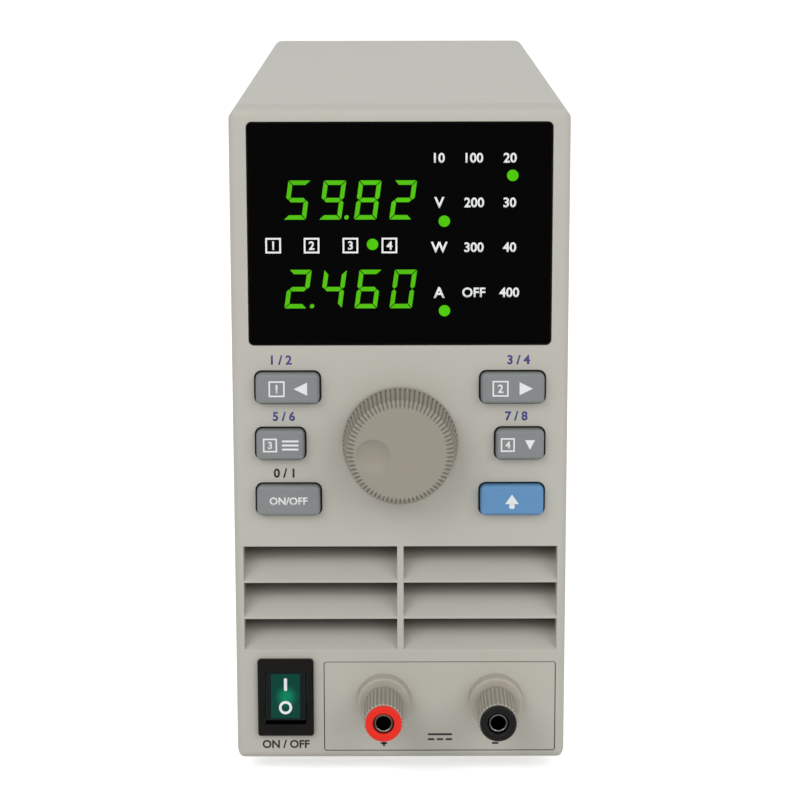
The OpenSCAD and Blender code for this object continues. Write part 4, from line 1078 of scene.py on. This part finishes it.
@dataclass
class DisplayWindow:
    """The smoked window with its lit digits, lamps and white marks."""

    front: FrontPlane
    set_back: float = 0.5
    digit_w: float = 4.65
    digit_h: float = 9.0
    stroke: float = 1.15
    bar_t: float = 0.1
    slant: float = 8.0
    bar_gap: float = 0.22
    point_room: float = 1.9
    pitch: float = 9.11
    first_x: float = -26.46
    rows: tuple[tuple[str, str, float], ...] = (
        ("upper_digits", "59.82", 151.45), ("lower_digits", "2.460", 128.2),
    )
    lit: tuple[tuple[float, float], ...] = ((29.1, 157.75), (11.5, 145.9), (11.6, 122.45), (-7.07, 139.9))
    lamp_r: float = 1.48
    lamp_t: float = 0.2
    lamp_soft: float = 0.075
    columns: tuple[float, ...] = (10.2, 19.2, 28.4)
    lines: tuple[float, ...] = (162.3, 150.75, 139.1, 127.25)
    legends: tuple[tuple[str, str, str], ...] = (
        ("10", "100", "20"), ("V", "200", "30"), ("W", "300", "40"), ("A", "OFF", "400"),
    )
    letter_h: float = 2.9
    number_h: float = 2.6
    legend_weight: float = 0.025
    boxes: tuple[float, ...] = (-32.8, -22.85, -12.8, -2.7)
    box_z: float = 139.6
    box: FigureBox = FigureBox(4.05, 0.45, 2.3)

    # Cuts at the corners of a bar, as shares of the stroke, and where a bar's ends begin.
    MITRE = 0.94
    POINT = 0.46
    END = 0.45
    SEGMENTS = {
        "0": "abcdef", "1": "bc", "2": "abged", "3": "abgcd", "4": "fgbc", "5": "afgcd", "6": "afgedc",
        "7": "abc", "8": "abcdefg", "9": "abcdfg",
    }

    def segment(self, length: float, cuts: Sequence[tuple[int, int, float]], place: Matrix) -> Piece:
        """Models one bar of a digit, along x with cut corners, and puts it in its place.

        Args:
            length: Length of the bar.
            cuts: Side in x, side in z and size of each cut, as a share of the stroke.
            place: The bar's place around the digit's middle.

        Returns:
            The bar.
        """
        far = self.END * length * MM
        bar = Shop.start("segment", bpy.ops.mesh.primitive_cube_add, size=1)
        Shop.sized(bar, (length * MM, self.bar_t * MM, self.stroke * MM))
        for side, level, share in cuts:
            Shop.bevel(bar, lambda mid, run: abs(run.y) > ALONG and side * mid.x > far and level * mid.z > 0,
                       width=share * self.stroke * MM)
        bar.data.transform(place)
        return bar

    def segments(self) -> dict[str, Piece]:
        """Models the seven bars of a digit around its middle.

        Returns:
            The bars by their usual letters.
        """
        half = self.digit_h / 2
        top = half + self.stroke / 2 - self.bar_gap
        foot = self.bar_gap / 2
        wide = self.digit_w + self.stroke - 2 * self.bar_gap
        points = [(side, level, self.POINT) for side in (-1, 1) for level in (-1, 1)]
        bars = {"g": self.segment(self.digit_w - 2 * self.bar_gap, points, Matrix.Identity(4))}
        for letter, level in (("a", 1), ("d", -1)):
            cuts = [(side, -level, self.MITRE) for side in (-1, 1)]
            bars[letter] = self.segment(wide, cuts, Matrix.Translation((0, 0, level * half * MM)))
        for letter, side, level in (("b", 1, 1), ("c", 1, -1), ("e", -1, -1), ("f", -1, 1)):
            cuts = [(level, side, self.MITRE), (-level, -1, self.POINT), (-level, 1, self.POINT)]
            spot = Matrix.Translation((side * self.digit_w / 2 * MM, 0, level * (top + foot) / 2 * MM))
            bars[letter] = self.segment(top - foot, cuts, spot @ turned(-90, "Y"))
        return bars

    def dot(self, radius: float) -> Piece:
        """Models a round lamp with a soft rim that looks to the front.

        Args:
            radius: The lamp's radius.

        Returns:
            The lamp about the origin.
        """
        disc = Shop.start("dot", bpy.ops.mesh.primitive_cylinder_add, vertices=ROUND_SIDES,
                          radius=radius * MM, depth=self.lamp_t * MM, rotation=(math.radians(90), 0, 0))
        Shop.fix(disc)
        Shop.bevel(disc, lambda mid, run: mid.y < 0 and abs(run.y) < ACROSS, self.lamp_soft * MM, steps=3)
        Shop.smooth(disc)
        return disc

    def digits(self, name: str, reading: str, middle_z: float) -> Piece:
        """Builds one row of digits from copies of the seven bars and the point.

        Args:
            name: Name of the row.
            reading: What the row shows.
            middle_z: Height of the row's middle.

        Returns:
            The row as one piece.
        """
        lean = Matrix.Identity(4)
        lean[0][2] = math.tan(math.radians(self.slant))
        bars = self.segments()
        point = self.dot(self.stroke / 2)
        low = Matrix.Translation(((self.digit_w / 2 + self.point_room) * MM, 0, -self.digit_h / 2 * MM))
        made = []
        column = -1
        for sign in reading:
            column += sign != "."
            middle = self.front.at(self.first_x + column * self.pitch, middle_z, self.set_back)
            place = Matrix.Translation(middle) @ lean
            if sign == ".":
                made.append(Shop.copy(point, place @ low))
            else:
                made += [Shop.copy(bars[letter], place) for letter in self.SEGMENTS[sign]]
        Shop.drop(point, *bars.values())
        return Shop.join(name, made)

    def lamps(self) -> Piece:
        """Builds the lit lamps from copies of one dot.

        Returns:
            The lamps as one piece.
        """
        dot = self.dot(self.lamp_r)
        made = [Shop.copy(dot, Matrix.Translation(self.front.at(x, z, self.set_back))) for x, z in self.lit]
        Shop.drop(dot)
        return Shop.join("status_lamps", made)

    def marks(self) -> Piece:
        """Builds the white figures and boxes on the window.

        Returns:
            The marks as one piece.
        """
        marks: list[Mark] = []
        for z, words in zip(self.lines, self.legends):
            for x, body in zip(self.columns, words):
                height = self.letter_h if len(body) == 1 else self.number_h
                marks.append(Words(x, z, body, height, self.legend_weight))
        for number, x in enumerate(self.boxes, 1):
            marks += self.box.marks(str(number), x, self.box_z)
        return printed("window_marks", marks, self.front.at(0, 0, self.set_back))

    def build(self) -> None:
        """Builds and dresses everything on the window."""
        for name, reading, middle_z in self.rows:
            settle(self.digits(name, reading, middle_z), "case", Finishes.DIGIT)
        settle(self.lamps(), "case", Finishes.LAMP)
        settle(self.marks(), "case", Finishes.WHITE)


@dataclass
class KeyPad:
    """Marks on the keys and above them."""

    front: FrontPlane
    proud: float = 2.6
    wide_x: float = 29.4
    narrow_x: float = 31.4
    rows: tuple[float, float, float] = (102.3, 87.25, 72.2)
    big_box: FigureBox = FigureBox(4.2, 0.4, 2.31)
    small_box: FigureBox = FigureBox(3.7, 0.4, 2.035)
    arrow: float = 3.5
    small_arrow: float = 2.6
    line_step: float = 1.1
    label_h: float = 2.5
    label_rise: float = 7.25
    low_rise: float = 7.0

    def caps(self) -> dict[str, tuple[float, float, list[Mark]]]:
        """Lists the marks of the keys.

        Returns:
            By key, the x and z of its middle and its marks, placed from there.
        """
        top, mid, low = self.rows
        size, small = self.arrow, self.small_arrow
        return {
            "key_left": (-self.wide_x, top, self.big_box.marks("1", -2.8)
                         + [Arrow(3.4, 0, size, size, Pointing.LEFT)]),
            "key_right": (self.wide_x, top, self.big_box.marks("2", -3.2)
                          + [Arrow(3.5, 0, size, size, Pointing.RIGHT)]),
            "key_menu": (-self.narrow_x, mid, self.small_box.marks("3", -2.7)
                         + [Bar(2.6, step * self.line_step, 4.4, 0.5) for step in (-1, 0, 1)]),
            "key_enter": (self.narrow_x, mid, self.small_box.marks("4", -3.2)
                          + [Arrow(2.6, 0, small, small, Pointing.DOWN)]),
            "key_on_off": (-self.wide_x, low, [Words(0, 0, "ON/OFF", 2.1)]),
            "key_shift": (self.wide_x, low, [Arrow(0, 0.4, small, 3.6, Pointing.UP), Bar(0, -1.5, 1.5, 1.4)]),
        }

    def build(self) -> None:
        """Builds and dresses the marks on the keys and on the panel."""
        for key, (x, z, marks) in self.caps().items():
            piece = printed(key + "_marks", marks, self.front.at(x, z, -self.proud))
            settle(piece, key + "_cap", Finishes.PALE)
        top, mid, low = self.rows
        labels = ((-31.0, top, "1 / 2"), (31.0, top, "3 / 4"), (-30.5, mid, "5 / 6"), (30.5, mid, "7 / 8"))
        blue = [Words(x, z + self.label_rise, body, self.label_h) for x, z, body in labels]
        dark = [Words(-30.6, low + self.low_rise, "0 / 1", self.label_h), Words(-30.9, 4.1, "ON / OFF", 2.3)]
        settle(printed("panel_marks_blue", blue, self.front.at(0, 0)), "case", Finishes.BLUE)
        settle(printed("panel_marks_dark", dark, self.front.at(0, 0)), "case", Finishes.DARK)


@dataclass
class PowerSwitch:
    """The green lens and the pale marks of the rocker.

    Reach and dip tell how far the rocker's ends stand out from its pivot and how much lower its middle is.
    """

    front: FrontPlane
    middle_x: float = -30.8
    middle_z: float = 17.5
    pivot: float = 2.6
    reach: float = 5.0
    dip: float = 0.8
    half: float = 6.4
    tilt: float = 10.0
    lens_w: float = 7.8
    lens_h: float = 11.9
    lens_t: float = 0.7
    lens_proud: float = 0.25
    lens_soft: float = 0.25
    signs: tuple[tuple[Mark, float], ...] = ((Bar(0, 0, 0.85, 3.5), 3.1), (Ring(0, 0, 1.76, 0.68), -3.1))

    # What counts as the lens's fold and as its rim, as shares of its size.
    FOLD = 0.001
    RIM = 0.49
    FACE = 0.1

    def seat(self, piece: Piece) -> None:
        """Turns a piece from the rocker's own frame to its place at rest."""
        spot = Matrix.Translation(self.front.at(self.middle_x, self.middle_z, self.pivot))
        piece.data.transform(spot @ turned(-self.tilt, "X"))

    def lens(self) -> Piece:
        """Models the lens: a plate that follows the two slopes of the rocker.

        Returns:
            The lens in its place.
        """
        wide, thick, high = self.lens_w * MM, self.lens_t * MM, self.lens_h * MM
        plate = Shop.start("rocker_lens", bpy.ops.mesh.primitive_cube_add, size=1)
        Shop.sized(plate, (wide, thick, high))
        Shop.take(plate, edit=True)
        bpy.ops.mesh.bisect(plane_co=(0, 0, 0), plane_no=(0, 0, 1))
        Shop.pick_edges(plate, lambda mid, run: abs(mid.z) < self.FOLD * high and abs(run.z) < ACROSS)
        slope = self.dip * self.lens_h / (2 * self.half)
        bpy.ops.transform.translate(value=(0, slope * MM, 0))
        Shop.clear()
        Shop.bevel(plate, lambda mid, run: mid.y < -self.FACE * thick and (
            abs(mid.x) > self.RIM * wide or abs(mid.z) > self.RIM * high), self.lens_soft * MM, steps=2)
        front = -self.reach + self.dip - slope + self.lens_t / 2 - self.lens_proud
        plate.data.transform(Matrix.Translation((0, front * MM, 0)))
        Shop.smooth(plate)
        self.seat(plate)
        return plate

    def marks(self) -> Piece:
        """Models the upright bar and the ring on the two slopes.

        Returns:
            The marks as one piece.
        """
        slope = math.degrees(math.atan2(self.dip, self.half))
        made = []
        for sign, level in self.signs:
            mark = sign.draw(Vector((0, 0, 0)))
            depth = -self.reach + self.dip - self.dip * abs(level) / self.half - self.lens_proud
            lean = turned(math.copysign(slope, level), "X")
            mark.data.transform(Matrix.Translation((0, depth * MM, level * MM)) @ lean)
            self.seat(mark)
            made.append(mark)
        return Shop.join("rocker_marks", made)

    def build(self) -> None:
        """Builds and dresses the lens and its marks."""
        settle(self.lens(), "rocker", Finishes.LENS)
        settle(self.marks(), "rocker", Finishes.PALE)


@dataclass
class BindingPosts:
    """Signs beside the binding posts."""

    front: FrontPlane
    plate_set: float = 0.2
    line: float = 0.55
    sign_w: float = 1.8
    sign_z: float = 4.2
    red_x: float = -4.5
    black_x: float = 25.5
    direct_x: float = 10.6
    direct_w: float = 6.6
    direct_z: float = 6.7
    dash_z: float = 5.3
    dash_step: float = 2.4

    def build(self) -> None:
        """Builds and dresses the plus, the minus and the direct-current sign."""
        signs = [
            Bar(self.red_x, self.sign_z, self.sign_w, self.line),
            Bar(self.red_x, self.sign_z, self.line, self.sign_w),
            Bar(self.black_x, self.sign_z, self.sign_w, self.line),
            Bar(self.direct_x, self.direct_z, self.direct_w, self.line),
        ]
        for step in (-1, 0, 1):
            signs.append(Bar(self.direct_x + step * self.dash_step, self.dash_z, self.sign_w, self.line))
        settle(printed("terminal_marks", signs, self.front.at(0, 0, self.plate_set)), "case", Finishes.DARK)


@dataclass(frozen=True)
class ScrewHead:
    """A screw head with a cross recess, which looks along -y with its top at y = 0."""

    radius: float
    thick: float
    soft: float

    # Size of the recess, as shares of the radius and the thickness.
    SPAN = 1.1
    WIDTH = 0.26
    DEPTH = 0.9
    SLOPE = 0.3
    # Faces that meet at less than these degrees are shaded as one.
    SMOOTH = 30

    def model(self) -> Piece:
        """Models the head and cuts its recess.

        Returns:
            The head.
        """
        radius, thick = self.radius * MM, self.thick * MM
        head = Shop.start("head", bpy.ops.mesh.primitive_cylinder_add, vertices=ROUND_SIDES, radius=radius,
                          depth=thick, rotation=(math.radians(90), 0, 0), location=(0, thick / 2, 0))
        Shop.fix(head)
        Shop.bevel(head, lambda mid, run: mid.y < thick / 2 and abs(run.y) < ACROSS, self.soft * MM, steps=4)
        for turn in (0, 90):
            cutter = Shop.start("cutter", bpy.ops.mesh.primitive_cube_add, size=1)
            Shop.sized(cutter, (self.SPAN * radius, self.DEPTH * thick, self.WIDTH * radius))
            Shop.bevel(cutter, lambda mid, run: abs(run.z) > ALONG and mid.y > 0, self.SLOPE * thick)
            cutter.data.transform(turned(turn, "Y"))
            Shop.cut(head, cutter)
        Shop.smooth(head, self.SMOOTH)
        return head

    def repeat(self, name: str, places: Sequence[Matrix]) -> Piece:
        """Models the head once and copies it to its places.

        Args:
            name: Name of the copies together.
            places: Where they go.

        Returns:
            The heads as one piece.
        """
        head = self.model()
        made = [Shop.copy(head, place) for place in places]
        Shop.drop(head)
        return Shop.join(name, made)


@dataclass
class Fasteners:
    """Screw heads with cross recesses in place of the plain heads.

    The turns are where the screws came to a stop: the first one's, and how much more each next one has.
    """

    front: FrontPlane
    side_x: float = 44.0
    lip_y: tuple[float, ...] = (43.0, 128.0, 215.0)
    lip_z: float = 10.0
    flange_y: float = 249.5
    flange_z: tuple[float, ...] = (108.0, 142.0)
    cover_turns: tuple[float, float] = (23, 37)
    cover_head: ScrewHead = ScrewHead(2.8, 0.8, 0.15)
    fan_y: float = 256.8
    fan_z: float = 52.0
    fan_hole: float = 35.75
    fan_turns: tuple[float, float] = (15, 41)
    fan_head: ScrewHead = ScrewHead(4.2, 2.0, 1.2)
    inlet_x: float = 20.0
    inlet_y: float = 257.5
    inlet_z: float = 142.0
    inlet_turns: tuple[float, float] = (-31, 62)
    inlet_head: ScrewHead = ScrewHead(2.8, 1.6, 0.9)

    REAR = 180

    def row(self, spots: Sequence[Sequence[float]], face: float, turns: tuple[float, float]) -> list[Matrix]:
        """Gives the places of heads that look the same way.

        Args:
            spots: The x, z and depth of each head's top, as FrontPlane takes them.
            face: Degrees from looking to the front.
            turns: Degrees that the first recess is turned, and how much more each next one is.

        Returns:
            The places.
        """
        first, more = turns
        return [
            Matrix.Translation(self.front.at(*spot)) @ turned(face, "Z") @ turned(first + more * count, "Y")
            for count, spot in enumerate(spots)
        ]

    def build(self) -> None:
        """Builds and dresses the cover screws, the fan screws and the inlet screws."""
        edges = [(self.lip_z, y) for y in self.lip_y] + [(z, self.flange_y) for z in self.flange_z]
        left, right = (
            self.row([(side * self.side_x, *edge) for edge in edges], 90 * side, self.cover_turns)
            for side in (-1, 1)
        )
        hole, top = self.fan_hole, self.fan_y + self.fan_head.thick
        corners = [(x * hole, self.fan_z + z * hole, top) for x in (-1, 1) for z in (-1, 1)]
        top = self.inlet_y + self.inlet_head.thick
        ears = [(side * self.inlet_x, self.inlet_z, top) for side in (-1, 1)]
        for node, head, places, finish in (
            ("cover_screws", self.cover_head, left + right, Finishes.BLACK_SCREW),
            ("fan_screws", self.fan_head, self.row(corners, self.REAR, self.fan_turns), Finishes.SCREW),
            ("inlet_screws", self.inlet_head, self.row(ears, self.REAR, self.inlet_turns), Finishes.SCREW),
        ):
            heads = head.repeat(node.replace("screws", "screw_heads"), places)
            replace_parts(settle(heads, "case", finish), node)


class Casework:
    """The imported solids, dressed by their material slots."""

    OVER = {"switch_rocker": Finishes.ROCKER}

    def build(self) -> None:
        """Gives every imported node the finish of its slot."""
        for part in frame["record"]["subparts"]:
            node = part["node"]
            finish = self.OVER.get(node) or Finishes.by_slot(part["material_slot"])
            wear(frame["nodes"][node], finish)
            LOG.info("dressed %s in %s", node, finish.name)


@dataclass(frozen=True)
class SoftLight:
    """A square soft light that points at the part, in metres and watts."""

    name: str
    place: tuple[float, float, float]
    size: float
    power: float

    AIM = (0, 0, 0.1)

    def hang(self) -> None:
        """Hangs the light."""
        Shop.clear()
        bpy.ops.object.light_add(type="AREA", location=self.place)
        light = bpy.context.object
        light.name = self.name
        light.data.size = self.size
        light.data.energy = self.power
        light.rotation_euler = (Vector(self.AIM) - Vector(self.place)).to_track_quat("-Z", "Y").to_euler()


@dataclass
class Studio:
    """The pale floor, the soft lights and the camera, which stands as it did for the photograph."""

    camera_at: tuple[float, float, float] = (-1.075, -774.14, 240.29)
    yaw: float = -0.092
    pitch: float = 11.886
    roll: float = -0.095
    lens: float = 114.64
    sensor: float = 36.0
    near_m: float = 0.05
    far_m: float = 50.0
    floor_m: float = 12.0
    floor_cuts: int = 4
    floor_patch: float = 3.0
    floor_tone: tuple[float, float] = (0.78, 0.82)
    floor_glow: float = 0.62
    ambient: float = 0.55
    lights: tuple[SoftLight, ...] = (
        SoftLight("key_light", (-1.35, -2.05, 1.75), 1.8, 28),
        SoftLight("fill_light", (1.6, -1.9, 1.3), 1.8, 20),
        SoftLight("top_light", (0, 0.1, 1.8), 1.4, 1),
    )

    WHITE = (1, 1, 1, 1)

    def floor(self) -> None:
        """Lays the floor, white to the camera and pale to the light."""
        plane = Shop.start("floor", bpy.ops.mesh.primitive_plane_add, size=self.floor_m)
        Shop.take(plane, edit=True)
        bpy.ops.mesh.subdivide(number_cuts=self.floor_cuts)
        Shop.clear()
        made = bpy.data.materials.new("pale_floor")
        made.use_nodes = True
        graph = Graph(made.node_tree)
        graph.feed(made.node_tree.nodes["Principled BSDF"], {
            "Base Color": graph.cloud(self.floor_patch, *self.floor_tone),
            "Roughness": 0.9,
            "Specular IOR Level": 0.1,
            "Emission Color": self.WHITE,
            "Emission Strength": graph.math("MULTIPLY", graph.shown(), self.floor_glow),
        })
        plane.data.materials.append(made)

    def world(self) -> None:
        """Sets an even soft sky that is white to the camera."""
        world = bpy.data.worlds.new("soft_sky")
        bpy.context.scene.world = world
        world.use_nodes = True
        graph = Graph(world.node_tree)
        strength = graph.spread(graph.shown(), self.ambient, 1.0)
        graph.feed(world.node_tree.nodes["Background"], {"Color": self.WHITE, "Strength": strength})

    def camera(self) -> None:
        """Sets the camera to the photograph's view."""
        data = bpy.data.cameras.new("view")
        data.lens = self.lens
        data.sensor_width = self.sensor
        data.clip_start = self.near_m
        data.clip_end = self.far_m
        eye = bpy.data.objects.new("view", data)
        bpy.context.scene.collection.objects.link(eye)
        yaw, pitch, roll = (math.radians(angle) for angle in (self.yaw, self.pitch, self.roll))
        ahead = Vector((-math.sin(yaw) * math.cos(pitch), math.cos(yaw) * math.cos(pitch), -math.sin(pitch)))
        level = Vector((math.cos(yaw), math.sin(yaw), 0))
        right = level * math.cos(roll) + level.cross(ahead) * math.sin(roll)
        basis = Matrix((right, right.cross(ahead), -ahead)).transposed().to_4x4()
        eye.matrix_world = Matrix.Translation(Vector(self.camera_at) * MM) @ basis
        bpy.context.scene.camera = eye

    def build(self) -> None:
        """Sets the whole studio."""
        self.floor()
        self.world()
        for light in self.lights:
            light.hang()
        self.camera()
        bpy.context.scene.view_settings.view_transform = "Standard"


def main() -> None:
    """Builds the dressed part in order."""
    front = FrontPlane()
    pieces = [kind(front) for kind in (DisplayWindow, KeyPad, PowerSwitch, BindingPosts, Fasteners)]
    for assembly in (Casework(), *pieces, Studio()):
        assembly.build()
        LOG.info("built %s", type(assembly).__name__)


if __name__ == "__main__":
    main()
